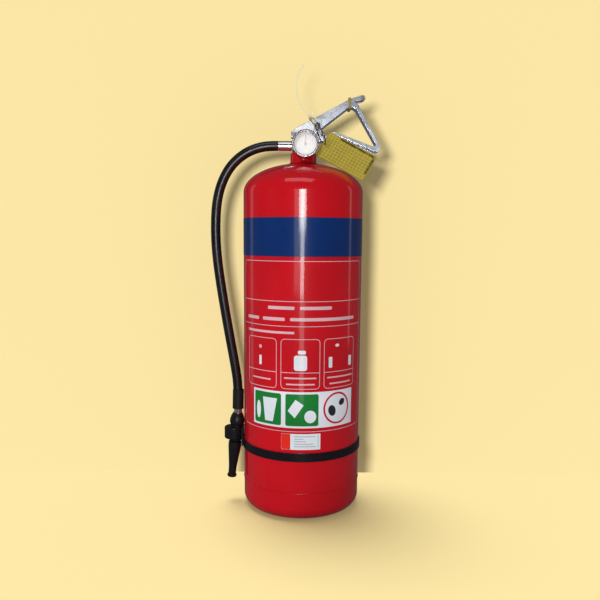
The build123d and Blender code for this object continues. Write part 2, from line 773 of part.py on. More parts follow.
ring_top = eye_centre + Vector(0, 0, -eye_hole_radius + ring_wire_radius + 0.25)
ring_down = Vector(sin(radians(ring_lean)) * cos(radians(ring_yaw)), sin(radians(ring_lean)) * sin(radians(ring_yaw)),
                   -cos(radians(ring_lean)))
ring_centre = ring_top + ring_down * ring_radius
ring_plane = Plane(origin=ring_centre, x_dir=ring_down, z_dir=ring_down.cross(yaw_axis))
with BuildPart() as pull_ring:
    with Locations(ring_plane):
        Torus(ring_radius, ring_wire_radius)
finish(pull_ring, "pull_ring")

# =========================== tamper seal ===========================
seal_head = (10.0, neck_height + 49.2)
seal_axis_angle = degrees(atan2(seal_head[1] - pin_z, seal_head[0] - pin_x))
seal_mid = ((seal_head[0] + pin_x) / 2, (seal_head[1] + pin_z) / 2)
seal_span = hypot(seal_head[0] - pin_x, seal_head[1] - pin_z)
loop_inner = pin_radius + 0.35
seal_spike = (12.6, neck_height + 53.2)
seal_spike_angle = 82.0
tail_foot = (9.1, neck_height + 51.4)
tail_bow = (-11.0, neck_height + 94.0)
tail_tip = (-0.3, neck_height + 123.4)
seal_mid_y = seal_front_y - seal_strip / 2


def tail_point(spot):
    """Point of the seal's tail at the strip's mid depth."""
    return (spot[0], seal_mid_y, spot[1])


def bow_middle(end):
    """Middle of the arc that leaves the tail's bow straight up or down and meets an end."""
    across, along = end[0] - tail_bow[0], end[1] - tail_bow[1]
    bow_radius = (across**2 + along**2) / (2 * across)
    half_turn = asin(along / bow_radius) / 2
    return (tail_bow[0] + bow_radius * (1 - cos(half_turn)), tail_bow[1] + bow_radius * sin(half_turn))


with BuildPart() as tamper_seal:
    with BuildSketch(front_plane(seal_front_y)):
        with Locations(Location((seal_mid[0], seal_mid[1], 0), seal_axis_angle)):
            SlotCenterToCenter(seal_span, 2 * loop_inner + 2.0)
            SlotCenterToCenter(seal_span, 2 * loop_inner, mode=Mode.SUBTRACT)
    extrude(amount=seal_strip)
    with BuildSketch(front_plane(seal_front_y + 0.8)):
        with Locations(Location((seal_head[0], seal_head[1], 0), seal_axis_angle)):
            RectangleRounded(5.6, 4.4, 1.0)
    extrude(amount=seal_strip + 1.6)
    with BuildSketch(front_plane(seal_front_y)):
        with Locations(Location((seal_spike[0], seal_spike[1], 0), seal_spike_angle)):
            RectangleRounded(8.5, 1.4, 0.5)
    extrude(amount=seal_strip)
    with BuildLine() as tail_path:
        lower_tail = ThreePointArc(tail_point(tail_foot), tail_point(bow_middle(tail_foot)), tail_point(tail_bow))
        ThreePointArc(tail_point(tail_bow), tail_point(bow_middle(tail_tip)), tail_point(tail_tip))
    with BuildSketch(Plane(origin=lower_tail @ 0, z_dir=lower_tail % 0)):
        Circle(seal_tail_radius)
    sweep(path=tail_path.line)
finish(tamper_seal, "tamper_seal")

# =========================== grip band ===========================
with BuildPart() as grip_band:
    with BuildSketch(Plane.YZ.offset(band_x - band_width / 2)):
        with Locations((0, (band_low + band_high) / 2)):
            RectangleRounded(handle_width + 0.7 + 2 * band_thickness, band_high - band_low + 2 * band_thickness, 2.0)
            RectangleRounded(handle_width + 0.7, band_high - band_low, 1.0, mode=Mode.SUBTRACT)
    extrude(amount=band_width)
finish(grip_band, "grip_band")

# =========================== inspection tag ===========================
ring_bottom = ring_top + ring_down * (2 * ring_radius)
tag_normal = Vector(0, -cos(radians(tag_pitch)), sin(radians(tag_pitch)))
tag_up = Vector(0, sin(radians(tag_pitch)), cos(radians(tag_pitch)))
tag_across = Vector(cos(radians(tag_turn)), 0, 0) + tag_up * sin(radians(tag_turn))
tag_hole_centre = ring_bottom + Vector(0.5, 0, -0.6)
tag_plane = Plane(origin=tag_hole_centre, x_dir=tag_across, z_dir=tag_normal)
with BuildPart() as inspection_tag:
    with BuildSketch(tag_plane.offset(-tag_thickness / 2)):
        with Locations((tag_length / 2 - tag_hole_inset, 0)):
            RectangleRounded(tag_length, tag_height, tag_corner_radius)
        Circle(tag_hole_radius, mode=Mode.SUBTRACT)
    extrude(amount=tag_thickness)
finish(inspection_tag, "inspection_tag")

# =========================== hose ===========================
boss_face_x = -outlet_reach
washer_face_x = boss_face_x - 1.2
ferrule_start_x = washer_face_x - ferrule_gap
hose_start_x = hose_route[0][0]
with BuildPart() as outlet_washer:
    with BuildSketch(Plane.YZ.offset(boss_face_x - 0.1)):
        with Locations((0, outlet_height)):
            Circle(outlet_washer_radius)
            Circle(outlet_bore_radius + 0.1, mode=Mode.SUBTRACT)
    extrude(amount=-1.1)
finish(outlet_washer, "outlet_washer")

with BuildPart() as hose_coupling:
    with BuildSketch(Plane.YZ.offset(ferrule_start_x)):
        with Locations((0, outlet_height)):
            Circle(ferrule_radius)
    extrude(amount=hose_start_x - ferrule_start_x)
    fillet(hose_coupling.edges().filter_by(GeomType.CIRCLE), 1.0)
    with BuildSketch(Plane.YZ.offset(ferrule_start_x - 1.0)):
        with Locations((0, outlet_height)):
            Circle(outlet_bore_radius - fit_gap)
    extrude(amount=10.0)
    with BuildSketch(Plane.YZ.offset(hose_start_x)):
        with Locations((0, outlet_height)):
            Circle(4.0)
    extrude(amount=40.0, mode=Mode.SUBTRACT)
finish(hose_coupling, "hose_coupling")

route = [Vector(x, 0, z) for x, z in hose_route]
corner_radii = []
for before, corner, after in zip(route, route[1:], route[2:]):
    turn = radians((corner - before).get_angle(after - corner))
    shorter_run = min((corner - before).length, (after - corner).length)
    corner_radii.append(0.45 * shorter_run / tan(turn / 2))
print("hose bend radii:", [round(radius) for radius in corner_radii])

with BuildPart() as hose:
    with BuildLine() as hose_path:
        FilletPolyline(*route, radius=corner_radii)
    with BuildSketch(Plane(origin=hose_path.line @ 0, z_dir=hose_path.line % 0)):
        Circle(hose_radius)
    sweep(path=hose_path.line)
hose_length = sum(edge.length for edge in hose_path.edges())
print("hose length:", round(hose_length, 1))
print("hose volume error:", round(tube_volume_error(hose.part, pi * hose_radius**2, hose_length), 5))
finish(hose, "hose")

hose_end = route[-1]
end_direction = (route[-1] - route[-2]).normalized()
sleeve_bottom = hose_end + end_direction * 1.0
sleeve_plane = Plane(origin=sleeve_bottom, z_dir=end_direction * -1)
with BuildPart() as hose_sleeve:
    with BuildSketch(sleeve_plane):
        Circle(sleeve_radius)
    extrude(amount=abs(hose_end.Z - sleeve_top))
    fillet(hose_sleeve.edges().filter_by(GeomType.CIRCLE).group_by(Axis.Z)[-1], 0.5)
    with BuildSketch(sleeve_plane.offset(-1.0)):
        Circle(hose_radius + sleeve_gap)
    extrude(amount=60.0, mode=Mode.SUBTRACT)
finish(hose_sleeve, "hose_sleeve")

# =========================== nozzle ===========================
lean = radians(nozzle_lean)
nozzle_up = Vector(sin(lean), 0, cos(lean))
nozzle_drop = 7.0
nozzle_top = hose_end + end_direction * nozzle_drop
nozzle_side = Plane(origin=nozzle_top, x_dir=(cos(lean), 0, -sin(lean)), z_dir=(0, -1, 0))
nozzle_axis = Axis(origin=nozzle_top, direction=nozzle_up)
insert_stub = 14.0
plate_depth = 52.0
tip_depth = 105.0
with BuildPart() as nozzle_insert:
    with BuildSketch(Plane(origin=hose_end, z_dir=end_direction)):
        Circle(insert_radius)
    extrude(amount=8.0)
    with BuildSketch(Plane(origin=nozzle_top, z_dir=nozzle_up * -1)):
        Circle(insert_radius)
    extrude(amount=insert_stub)
    with BuildSketch(Plane(origin=nozzle_top + nozzle_up * 4.0, z_dir=nozzle_up * -1)):
        Circle(nozzle_bore_radius)
    extrude(amount=insert_stub + 8.0, mode=Mode.SUBTRACT)
finish(nozzle_insert, "nozzle_insert")

with BuildPart() as nozzle_body:
    with BuildSketch(nozzle_side):
        with BuildLine():
            Polyline(
                (insert_radius + 0.1, -1.0),
                (insert_radius + 1.2, -1.0),
                (10.0, -6.5),
                (11.3, -12.0),
                (11.3, -16.5),
                (9.6, -20.5),
                (9.6, -44.0),
                (7.4, -47.5),
                (7.4, -plate_depth),
                (nozzle_bore_radius, -plate_depth),
                (nozzle_bore_radius, -insert_stub - 0.1),
                (insert_radius + 0.1, -insert_stub - 0.1),
                (insert_radius + 0.1, -1.0),
            )
        make_face()
    revolve(axis=nozzle_axis)
finish(nozzle_body, "nozzle_body")

with BuildPart() as nozzle_tip:
    with BuildSketch(nozzle_side):
        with BuildLine():
            Polyline(
                (7.45, -47.6),
                (10.0, -47.6),
                (10.0, -55.0),
                (6.3, -88.0),
                (5.9, -99.5),
                (7.3, -101.5),
                (7.3, -103.6),
                (6.4, -tip_depth),
                (4.4, -tip_depth),
                (4.4, -80.0),
                (5.4, -plate_depth - 0.1),
                (7.45, -plate_depth - 0.1),
                (7.45, -47.6),
            )
        make_face()
    revolve(axis=nozzle_axis)
finish(nozzle_tip, "nozzle_tip")

with BuildPart() as jet_plate:
    with BuildSketch(Plane(origin=nozzle_top + nozzle_up * -(plate_depth + 0.15), z_dir=nozzle_up * -1)):
        Circle(5.3)
        with PolarLocations(2.6, 6):
            Circle(0.8, mode=Mode.SUBTRACT)
    extrude(amount=1.2)
finish(jet_plate, "jet_plate")

# =========================== strap and nozzle clip ===========================
strap_inner = tank_radius + strap_gap
strap_outer = strap_inner + strap_thickness
with BuildPart() as tank_strap:
    with BuildSketch(Plane.XY.offset(strap_bottom)):
        Circle(strap_outer)
        Circle(strap_inner, mode=Mode.SUBTRACT)
    extrude(amount=strap_width)
    fillet(tank_strap.edges().filter_by(GeomType.CIRCLE).filter_by(lambda e: abs(e.radius - strap_outer) < 0.01), 0.6)
finish(tank_strap, "tank_strap")

clip_inner = strap_outer + strap_gap
clip_outer = clip_inner + clip_plate_thickness
clip_loop_x = -(clip_inner + clip_loop_radius)
plate_half = clip_outer * sin(radians(clip_plate_half_angle))
with BuildPart() as nozzle_clip:
    with BuildSketch(Plane.XY.offset(clip_loop_bottom)):
        with Locations((clip_loop_x, 0)):
            Circle(clip_loop_radius)
    extrude(amount=clip_loop_height)
    fillet(nozzle_clip.edges().filter_by(GeomType.CIRCLE), 2.5)
    with BuildSketch(Plane.XY.offset(strap_bottom - 1.5)):
        Circle(clip_outer)
        Circle(clip_inner, mode=Mode.SUBTRACT)
        with Locations((-tank_radius, 0)):
            Rectangle(3 * clip_loop_radius, 2 * plate_half, mode=Mode.INTERSECT)
    extrude(amount=clip_loop_bottom + clip_loop_height - strap_bottom + 1.5)
    with BuildSketch(Plane(origin=nozzle_top + nozzle_up * 10.0, z_dir=nozzle_up * -1)):
        Circle(clip_hole_radius)
    extrude(amount=90.0, mode=Mode.SUBTRACT)
finish(nozzle_clip, "nozzle_clip")

# =========================== labels ===========================
skin_inner = tank_radius + label_gap
skin_outer = skin_inner + label_thickness


def wrap_sketch(left_angle, right_angle):
    """Thin arc strip on the tank's front; angles are from the front, positive to the right."""
    with BuildSketch(mode=Mode.PRIVATE) as strip:
        with BuildLine():
            outer_arc = CenterArc((0, 0), skin_outer, left_angle - 90, right_angle - left_angle)
            inner_arc = CenterArc((0, 0), skin_inner, left_angle - 90, right_angle - left_angle)
            Line(outer_arc @ 0, inner_arc @ 0)
            Line(outer_arc @ 1, inner_arc @ 1)
        make_face()
    return strip.sketch


with BuildPart() as blue_band:
    with BuildSketch(Plane.XY.offset(band_bottom)):
        Circle(skin_outer)
        Circle(skin_inner, mode=Mode.SUBTRACT)
    extrude(amount=band_top - band_bottom)
finish(blue_band, "blue_band")

with BuildPart() as front_label:
    with BuildSketch(Plane.XY.offset(label_bottom)):
        add(wrap_sketch(-label_half_angle, label_half_angle))
    extrude(amount=label_top - label_bottom)
finish(front_label, "front_label")

with BuildPart() as date_sticker:
    with BuildSketch(Plane.XY.offset(sticker_bottom)):
        add(wrap_sketch(sticker_left_angle, sticker_right_angle))
    extrude(amount=sticker_top - sticker_bottom)
finish(date_sticker, "date_sticker")

print(len(parts_made), "pieces")
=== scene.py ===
"""Finishes, printed films, hose and studio for a nine-litre foam fire extinguisher."""

import json
import math

import bmesh
import bpy
from bpy.props import FloatProperty, FloatVectorProperty, IntProperty, PointerProperty
from bpy.types import Operator, Panel, PropertyGroup
from mathutils import Matrix, Vector


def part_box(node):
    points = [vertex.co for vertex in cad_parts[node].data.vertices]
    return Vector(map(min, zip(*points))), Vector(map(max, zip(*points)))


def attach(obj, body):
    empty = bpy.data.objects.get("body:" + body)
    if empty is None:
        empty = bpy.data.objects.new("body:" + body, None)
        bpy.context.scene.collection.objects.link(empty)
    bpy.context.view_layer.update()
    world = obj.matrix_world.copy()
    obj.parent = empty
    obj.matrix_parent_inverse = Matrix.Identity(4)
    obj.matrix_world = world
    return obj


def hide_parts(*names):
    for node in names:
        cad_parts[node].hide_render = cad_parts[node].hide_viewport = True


bl_info = {
    "name": "Foam Fire Extinguisher",
    "version": (1, 0, 0),
    "blender": (4, 5, 0),
    "location": "View3D > Sidebar > Extinguisher",
    "description": "Dresses the extinguisher's frame and builds its prints, hose and studio",
    "category": "Object",
}

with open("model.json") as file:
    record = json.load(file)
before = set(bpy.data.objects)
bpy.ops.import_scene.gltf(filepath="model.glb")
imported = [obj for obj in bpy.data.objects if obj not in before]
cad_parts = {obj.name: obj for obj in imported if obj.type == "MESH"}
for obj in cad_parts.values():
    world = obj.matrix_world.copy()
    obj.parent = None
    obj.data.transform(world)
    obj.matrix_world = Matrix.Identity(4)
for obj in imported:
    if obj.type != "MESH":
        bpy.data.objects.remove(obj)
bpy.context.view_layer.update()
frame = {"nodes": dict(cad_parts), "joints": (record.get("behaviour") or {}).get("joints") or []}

# centre line of the hose, from the outlet to the nozzle
HOSE_ROUTE = [
    (-0.038, 0.0, 0.547),
    (-0.051, 0.0, 0.547),
    (-0.0677, 0.0, 0.5442),
    (-0.0844, 0.0, 0.5374),
    (-0.0993, 0.0, 0.5266),
    (-0.111, 0.0, 0.5134),
    (-0.1205, 0.0, 0.496),
    (-0.1275, 0.0, 0.4745),
    (-0.1312, 0.0, 0.447),
    (-0.1316, 0.0, 0.404),
    (-0.1268, 0.0, 0.356),
    (-0.1142, 0.0, 0.277),
    (-0.1034, 0.0, 0.217),
    (-0.0984, 0.0, 0.182),
    (-0.0991, 0.0, 0.149),
]
# body that doesn't move
BODY = "extinguisher"
EVEN = (1.0, 1.0, 1.0)
# places of the inks in the label's finishes
PALE, WHITE, GREEN, RED, DARK = range(5)


def colour(label, words, value):
    """Colour property with its default in linear values."""
    return FloatVectorProperty(name=label, description=words, default=value, subtype="COLOR", min=0, max=1)


def length(label, words, value):
    """Length property in metres."""
    return FloatProperty(name=label, description=words, default=value, unit="LENGTH", precision=5)


def turn(label, words, degrees_value):
    """Angle property, given in degrees."""
    return FloatProperty(name=label, description=words, default=math.radians(degrees_value), unit="ROTATION")


def amount(label, words, value):
    """Plain number property."""
    return FloatProperty(name=label, description=words, default=value)


class ExtinguisherColours(PropertyGroup):
    """Colours of the finishes."""

    enamel: colour("Enamel red", "Sprayed paint of the tank", (0.52, 0.0025, 0.009))
    enamel_deep: colour("Deep enamel red", "Paint where the coat is thicker", (0.44, 0.002, 0.007))
    label_red: colour("Label red", "Film of the front label", (0.52, 0.003, 0.01))
    band_blue: colour("Band blue", "Film that tells the filling", (0.0012, 0.023, 0.13))
    print_pale: colour("Print", "Lines and bars on the label", (0.68, 0.42, 0.46))
    panel_white: colour("Panel white", "White field of the label", (0.74, 0.76, 0.82))
    sign_green: colour("Sign green", "Green squares", (0.008, 0.19, 0.03))
    sign_red: colour("Sign red", "Ring on the white field", (0.56, 0.01, 0.02))
    sign_dark: colour("Sign dark", "Ovals in the ring", (0.02, 0.022, 0.03))
    sticker_orange: colour("Sticker orange", "End of the date sticker", (0.75, 0.02, 0.008))
    rubber: colour("Rubber", "Hose cover", (0.0045, 0.0045, 0.0055))
    plastic: colour("Plastic", "Nozzle and clip", (0.006, 0.0055, 0.0065))
    strap: colour("Strap", "Strap of the nozzle clip", (0.0045, 0.0045, 0.0065))
    card: colour("Card", "Inspection tag", (0.3, 0.225, 0.013))
    card_line: colour("Card lines", "Ruling of the inspection tag", (0.42, 0.33, 0.045))
    nylon: colour("Nylon", "Tamper seal", (0.8, 0.76, 0.62))
    band_nylon: colour("Grip band", "Band round lever and handle", (0.3, 0.22, 0.04))
    dial: colour("Dial", "Face of the gauge", (0.98, 0.96, 0.93))
    backdrop: colour("Backdrop", "Floor and wall", (0.991, 0.814, 0.392))


class LabelSizes(PropertyGroup):
    """Layout of the front label."""

    print_lift: length("Print lift", "Height of the ink over the film", 0.00006)
    line_width: length("Line width", "Width of the printed lines", 0.0009)
    frame_corner: length("Frame corner", "Corner radius of the outer frame", 0.008)
    box_corner: length("Box corner", "Corner radius of the three boxes", 0.006)
    bend_step: length("Bend step", "Widest flat strip of a print", 0.003)


class GaugeSizes(PropertyGroup):
    """Marks of the gauge's dial."""

    mark_count: IntProperty(name="Marks", description="Number of marks on the dial", default=15, min=3)
    mark_radius: length("Mark radius", "Radius of the ring of marks", 0.0128)
    mark_length: length("Mark length", "Length of a mark", 0.0016)
    mark_width: length("Mark width", "Width of a mark", 0.00028)
    sweep: turn("Sweep", "Angle that the marks cover", 130.0)
    number_size: length("Number size", "Height of the numbers' type", 0.0032)
    number_inset: length("Number inset", "Distance of the numbers inside the marks", 0.0034)
    ink_depth: length("Ink depth", "Thickness of the numbers", 0.00005)
    dial_lift: length("Dial lift", "Distance of the print before the dial", 0.0001)


class TagSizes(PropertyGroup):
    """Ruling of the inspection tag, and the strips of painted shade along its edges."""

    rows: IntProperty(name="Rows", description="Ruled rows", default=9, min=2)
    columns: IntProperty(name="Columns", description="Ruled columns", default=16, min=2)
    line_width: length("Line width", "Width of a ruled line", 0.0012)
    margin: length("Margin", "Blank edge of the card", 0.003)
    # painted shade: these two size the darkened strips along the card's top and end edges
    shade_strip_width: length("Shade strip width", "Width of the painted edge shade", 0.0028)
    shade_strip_lift: length("Shade strip lift", "Height of the painted edge shade over the card", 0.0001)


class HoseSizes(PropertyGroup):
    """Discharge hose."""

    diameter: length("Diameter", "Outer diameter of the hose", 0.0146)
    hose_length: length("Length", "Length of the hose along its centre", 0.4542)


class StudioSizes(PropertyGroup):
    """Camera, backdrop and lamps."""

    camera_distance: length("Camera distance", "Distance in front of the tank's axis", 1.023)
    camera_height: length("Camera height", "Height over the floor", 0.412)
    camera_pitch: turn("Camera pitch", "Angle that the camera looks down", 7.8)
    camera_roll: turn("Camera roll", "Tilt of the camera", 0.45)
    camera_lens: amount("Lens", "Focal length in millimetres", 40.26)
    shift_right: amount("Shift right", "Sideways shift of the view, as a part of its width", -0.0035)
    shift_up: amount("Shift up", "Upward shift of the view, as a part of its width", 0.05)
    wall_distance: length("Wall distance", "Distance of the wall behind the tank's axis", 0.125)
    wall_glow: amount("Wall glow", "Part of the wall's colour that shade leaves", 0.1)
    wall_paper: amount("Wall paper", "Part of the wall's colour that light gives", 0.5)
    floor_glow: amount("Floor glow", "Part of the floor's colour that shade leaves", 0.22)
    floor_paper: amount("Floor paper", "Part of the floor's colour that light gives", 0.75)
    wall_lamp: amount("Wall lamp", "Power of the wall's lamp in watts", 46.0)
    floor_sun: amount("Floor sun", "Strength of the floor's sun", 2.53)
    key_sun: amount("Key sun", "Strength of the sun on the object", 1.16)
    strip_lamp: amount("Strip lamp", "Power of the strip lamp in watts", 5.2)
    soft_light: amount("Soft light", "Strength of the surround on the object", 0.28)
    dim_light: amount("Dim light", "Strength of the surround in reflections", 0.09)


# ------------------------------------------------------------------ materials


class Finish:
    """Material in the making: its shader, and patterns on Object coordinates."""

    def __init__(self, name):
        self.material = bpy.data.materials.new(name)
        self.material.use_nodes = True
        self.nodes = self.material.node_tree.nodes
        self.links = self.material.node_tree.links
        self.shader = self.nodes["Principled BSDF"]

    def put(self, values):
        """Fills the shader's sockets with numbers, colours or patterns."""
        for name, value in values.items():
            socket = self.shader.inputs[name]
            if isinstance(value, bpy.types.NodeSocket):
                self.links.new(value, socket)
            else:
                socket.default_value = value

    def noise(self, scale, detail=3.0, stretch=EVEN):
        """Noise; the scale is per metre."""
        place = self.nodes.new("ShaderNodeTexCoord")
        mapping = self.nodes.new("ShaderNodeMapping")
        mapping.inputs["Scale"].default_value = stretch
        grain = self.nodes.new("ShaderNodeTexNoise")
        grain.inputs["Scale"].default_value = scale
        grain.inputs["Detail"].default_value = detail
        self.links.new(place.outputs["Object"], mapping.inputs["Vector"])
        self.links.new(mapping.outputs["Vector"], grain.inputs["Vector"])
        return grain.outputs["Fac"]

    def height(self):
        """Height over the floor."""
        place = self.nodes.new("ShaderNodeTexCoord")
        parts = self.nodes.new("ShaderNodeSeparateXYZ")
        self.links.new(place.outputs["Object"], parts.inputs[0])
        return parts.outputs["Z"]

    def spread(self, source, low, high, start=0.3, end=0.7):
        """Maps a pattern to a range of values."""
        ramp = self.nodes.new("ShaderNodeMapRange")
        for name, value in (("From Min", start), ("From Max", end), ("To Min", low), ("To Max", high)):
            ramp.inputs[name].default_value = value
        self.links.new(source, ramp.inputs["Value"])
        return ramp.outputs["Result"]

    def blend(self, source, first, second, start=0.3, end=0.7):
        """Two colours mixed by a pattern."""
        mix = self.nodes.new("ShaderNodeMix")
        mix.data_type = "RGBA"
        mix.inputs[6].default_value = (*first, 1.0)
        mix.inputs[7].default_value = (*second, 1.0)
        self.links.new(self.spread(source, 0.0, 1.0, start, end), mix.inputs[0])
        return mix.outputs[2]

    def soften(self, radius):
        """Rounds the look of sharp edges, under the bumps that follow."""
        edge = self.nodes.new("ShaderNodeBevel")
        edge.samples = 6
        edge.inputs["Radius"].default_value = radius
        self.put({"Normal": edge.outputs["Normal"]})

    def bump(self, source, strength, depth):
        """Bump from a pattern, on top of what shapes the surface already."""
        bump = self.nodes.new("ShaderNodeBump")
        bump.inputs["Strength"].default_value = strength
        bump.inputs["Distance"].default_value = depth
        self.links.new(source, bump.inputs["Height"])
        for before in self.shader.inputs["Normal"].links:
            self.links.new(before.from_socket, bump.inputs["Normal"])
        self.put({"Normal": bump.outputs["Normal"]})


def shade(tint, factor):
    """Darker or lighter tint."""
    return tuple(min(1.0, value * factor) for value in tint)


def surface(name, tints, grain, rough, bump, metal=0.0, stretch=EVEN, specular=0.5, edge=0.0):
    """Finish whose colour and roughness drift with a grain; bump is (strength, depth)."""
    finish = Finish(name)
    if edge:
        finish.soften(edge)
    pattern = finish.noise(grain, stretch=stretch)
    finish.put(
        {
            "Base Color": finish.blend(pattern, *tints),
            "Roughness": finish.spread(pattern, *rough),
            "Metallic": metal,
            "Specular IOR Level": specular,
        }
    )
    finish.bump(finish.noise(grain * 2.7, stretch=stretch), *bump)
    return finish


def enamel_finish(colours):
    """Sprayed and baked enamel: broad colour drift, orange peel, fine dust and rubbed patches."""
    finish = Finish("red_enamel")
    rubbed = finish.noise(60.0, 5.0, (1.0, 1.0, 0.35))
    drift = finish.noise(9.0, 2.0)
    finish.put(
        {
            "Base Color": finish.blend(drift, tuple(colours.enamel), tuple(colours.enamel_deep)),
            "Roughness": finish.spread(rubbed, 0.24, 0.36),
            "Specular IOR Level": 0.1,
            "Coat Weight": 0.8,
            "Coat Roughness": 0.05,
        }
    )
    finish.bump(finish.noise(420.0, 2.0), 0.05, 0.0003)
    finish.bump(finish.noise(24.0, 1.0, (1.0, 1.0, 0.4)), 0.05, 0.002)
    return finish


def film_finish(name, tint, coat_rough=0.08, wave=0.05):
    """Self-adhesive film: smooth coat, slight ripples from the tank below."""
    finish = Finish(name)
    tint = tuple(tint)
    finish.put(
        {
            "Base Color": finish.blend(finish.noise(14.0, 2.0), tint, shade(tint, 0.84)),
            "Roughness": finish.spread(finish.noise(90.0, 4.0), 0.3, 0.42),
            "Specular IOR Level": 0.1,
            "Coat Weight": 0.7,
            "Coat Roughness": coat_rough,
        }
    )
    finish.bump(finish.noise(30.0, 1.0, (1.0, 1.0, 0.4)), wave, 0.002)
    return finish


def rubber_finish(colours):
    """Extruded rubber cover with a fine cloth imprint and dusty patches."""
    finish = Finish("hose_rubber")
    dust = finish.noise(38.0, 6.0)
    tint = tuple(colours.rubber)
    finish.put(
        {
            "Base Color": finish.blend(dust, tint, shade(tint, 2.0), 0.45, 0.8),
            "Roughness": finish.spread(dust, 0.26, 0.4),
            "Coat Weight": 0.25,
            "Coat Roughness": 0.22,
        }
    )
    finish.bump(finish.noise(1400.0, 2.0), 0.12, 0.0002)
    finish.bump(finish.noise(90.0, 2.0), 0.08, 0.0006)
    return finish


def window_finish():
    """Clear cover of the gauge with faint scratches."""
    finish = Finish("clear_window")
    scratches = finish.noise(900.0, 4.0, (1.0, 1.0, 0.06))
    finish.put(
        {
            "Base Color": (0.96, 0.97, 0.98, 1.0),
            "Alpha": 0.05,
            "Roughness": finish.spread(scratches, 0.02, 0.12),
        }
    )
    return finish


def card_finish(colours):
    """Plastic-coated card: mottled olive with a fibrous grain."""
    finish = Finish("tag_card")
    tint = tuple(colours.card)
    mottled = finish.noise(55.0, 6.0)
    finish.put(
        {
            "Base Color": finish.blend(mottled, shade(tint, 0.84), shade(tint, 1.1)),
            "Roughness": finish.spread(mottled, 0.42, 0.6),
        }
    )
    finish.bump(finish.noise(700.0, 3.0), 0.1, 0.0002)
    finish.bump(finish.noise(45.0, 1.0), 0.12, 0.001)
    return finish


def edge_shade_finish(colours):
    """Painted shade for the card's top and end edges: the card's colour darkened, in patches."""
    finish = Finish("painted_edge_shade")
    patches = finish.noise(260.0, 5.0)
    tint = tuple(colours.card)
    # painted shade: the card's colour darkened, mixed in patches by the noise
    edge_shade_tint = finish.blend(patches, shade(tint, 0.12), shade(tint, 0.7), 0.42, 0.66)
    finish.put({"Base Color": edge_shade_tint, "Roughness": 0.7})
    finish.bump(patches, 0.15, 0.0002)
    return finish


def dress(names, finish):
    """Gives a finish to pieces of the frame."""
    for name in names:
        frame["nodes"][name].material_slots[0].material = finish.material


def finished_piece(name, mesh, finishes, body):
    """Object at the origin with its finishes, riding on a body."""
    piece = bpy.data.objects.new(name, mesh)
    bpy.context.scene.collection.objects.link(piece)
    for finish in finishes:
        mesh.materials.append(finish.material)
    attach(piece, body)


def rounded_box(left, right, low, high, corner, steps=6):
    """Points of a rounded rectangle, anticlockwise, in metres along and up the film."""
    centres = [
        (right - corner, low + corner, -90),
        (right - corner, high - corner, 0),
        (left + corner, high - corner, 90),
        (left + corner, low + corner, 180),
    ]
    points = []
    for x, z, start in centres:
        for step in range(steps + 1):
            angle = math.radians(start + 90 * step / steps)
            points.append((x + corner * math.cos(angle), z + corner * math.sin(angle)))
    return points


def ellipse(x, z, half_width, half_height, lean=0.0, steps=40):
    """Points of an ellipse, anticlockwise."""
    points = []
    for step in range(steps):
        angle = 2 * math.pi * step / steps
        across, up = half_width * math.cos(angle), half_height * math.sin(angle)
        turned_across = across * math.cos(lean) - up * math.sin(lean)
        turned_up = across * math.sin(lean) + up * math.cos(lean)
        points.append((x + turned_across, z + turned_up))
    return points


class TankPrint:
    """Flat shapes that are cut into strips and wrapped round the tank."""

    def __init__(self, radius, bend_step):
        self.radius = radius
        self.bend_step = bend_step
        self.flat = bmesh.new()

    def along(self, degrees_value):
        """Distance along the film for an angle from the front."""
        return self.radius * math.radians(degrees_value)

    def fill(self, points, ink):
        """Filled shape."""
        face = self.flat.faces.new([self.flat.verts.new((x, 0, z)) for x, z in points])
        face.material_index = ink

    def outline(self, outer, inner, ink):
        """Band between two closed lines with as many points each."""
        outside = [self.flat.verts.new((x, 0, z)) for x, z in outer]
        inside = [self.flat.verts.new((x, 0, z)) for x, z in inner]
        for first in range(len(outer)):
            second = (first + 1) % len(outer)
            face = self.flat.faces.new([outside[first], outside[second], inside[second], inside[first]])
            face.material_index = ink

    def box_line(self, left, right, low, high, corner, width, ink):
        """Rounded frame of a given line width."""
        self.outline(
            rounded_box(left, right, low, high, corner),
            rounded_box(left + width, right - width, low + width, high - width, corner - width),
            ink,
        )

    def panel(self, left, right, low, high, corner, ink):
        """Filled box between two angles from the front, in degrees."""
        self.fill(rounded_box(self.along(left), self.along(right), low, high, corner), ink)

    def bar(self, left, right, middle, height, ink):
        """Bar with rounded ends between two angles from the front."""
        self.panel(left, right, middle - height / 2, middle + height / 2, height * 0.3, ink)

    def spot(self, angle, middle, half_width, half_height, ink):
        """Upright oval at an angle from the front."""
        self.fill(ellipse(self.along(angle), middle, half_width, half_height), ink)

    def wrap(self, name, lift):
        """Mesh wrapped round the tank."""
        reach = max(abs(vert.co.x) for vert in self.flat.verts)
        cuts = int(reach / self.bend_step) + 1
        for cut in range(-cuts, cuts + 1):
            bmesh.ops.bisect_plane(
                self.flat,
                geom=self.flat.verts[:] + self.flat.edges[:] + self.flat.faces[:],
                plane_co=(cut * self.bend_step, 0, 0),
                plane_no=(1, 0, 0),
            )
        for vert in self.flat.verts:
            angle = vert.co.x / self.radius
            out = self.radius + lift
            vert.co = (out * math.sin(angle), -out * math.cos(angle), vert.co.z)
        mesh = bpy.data.meshes.new(name)
        self.flat.to_mesh(mesh)
        self.flat.free()
        for polygon in mesh.polygons:
            polygon.use_smooth = True
        return mesh


# ------------------------------------------------------------------ geometry node helpers


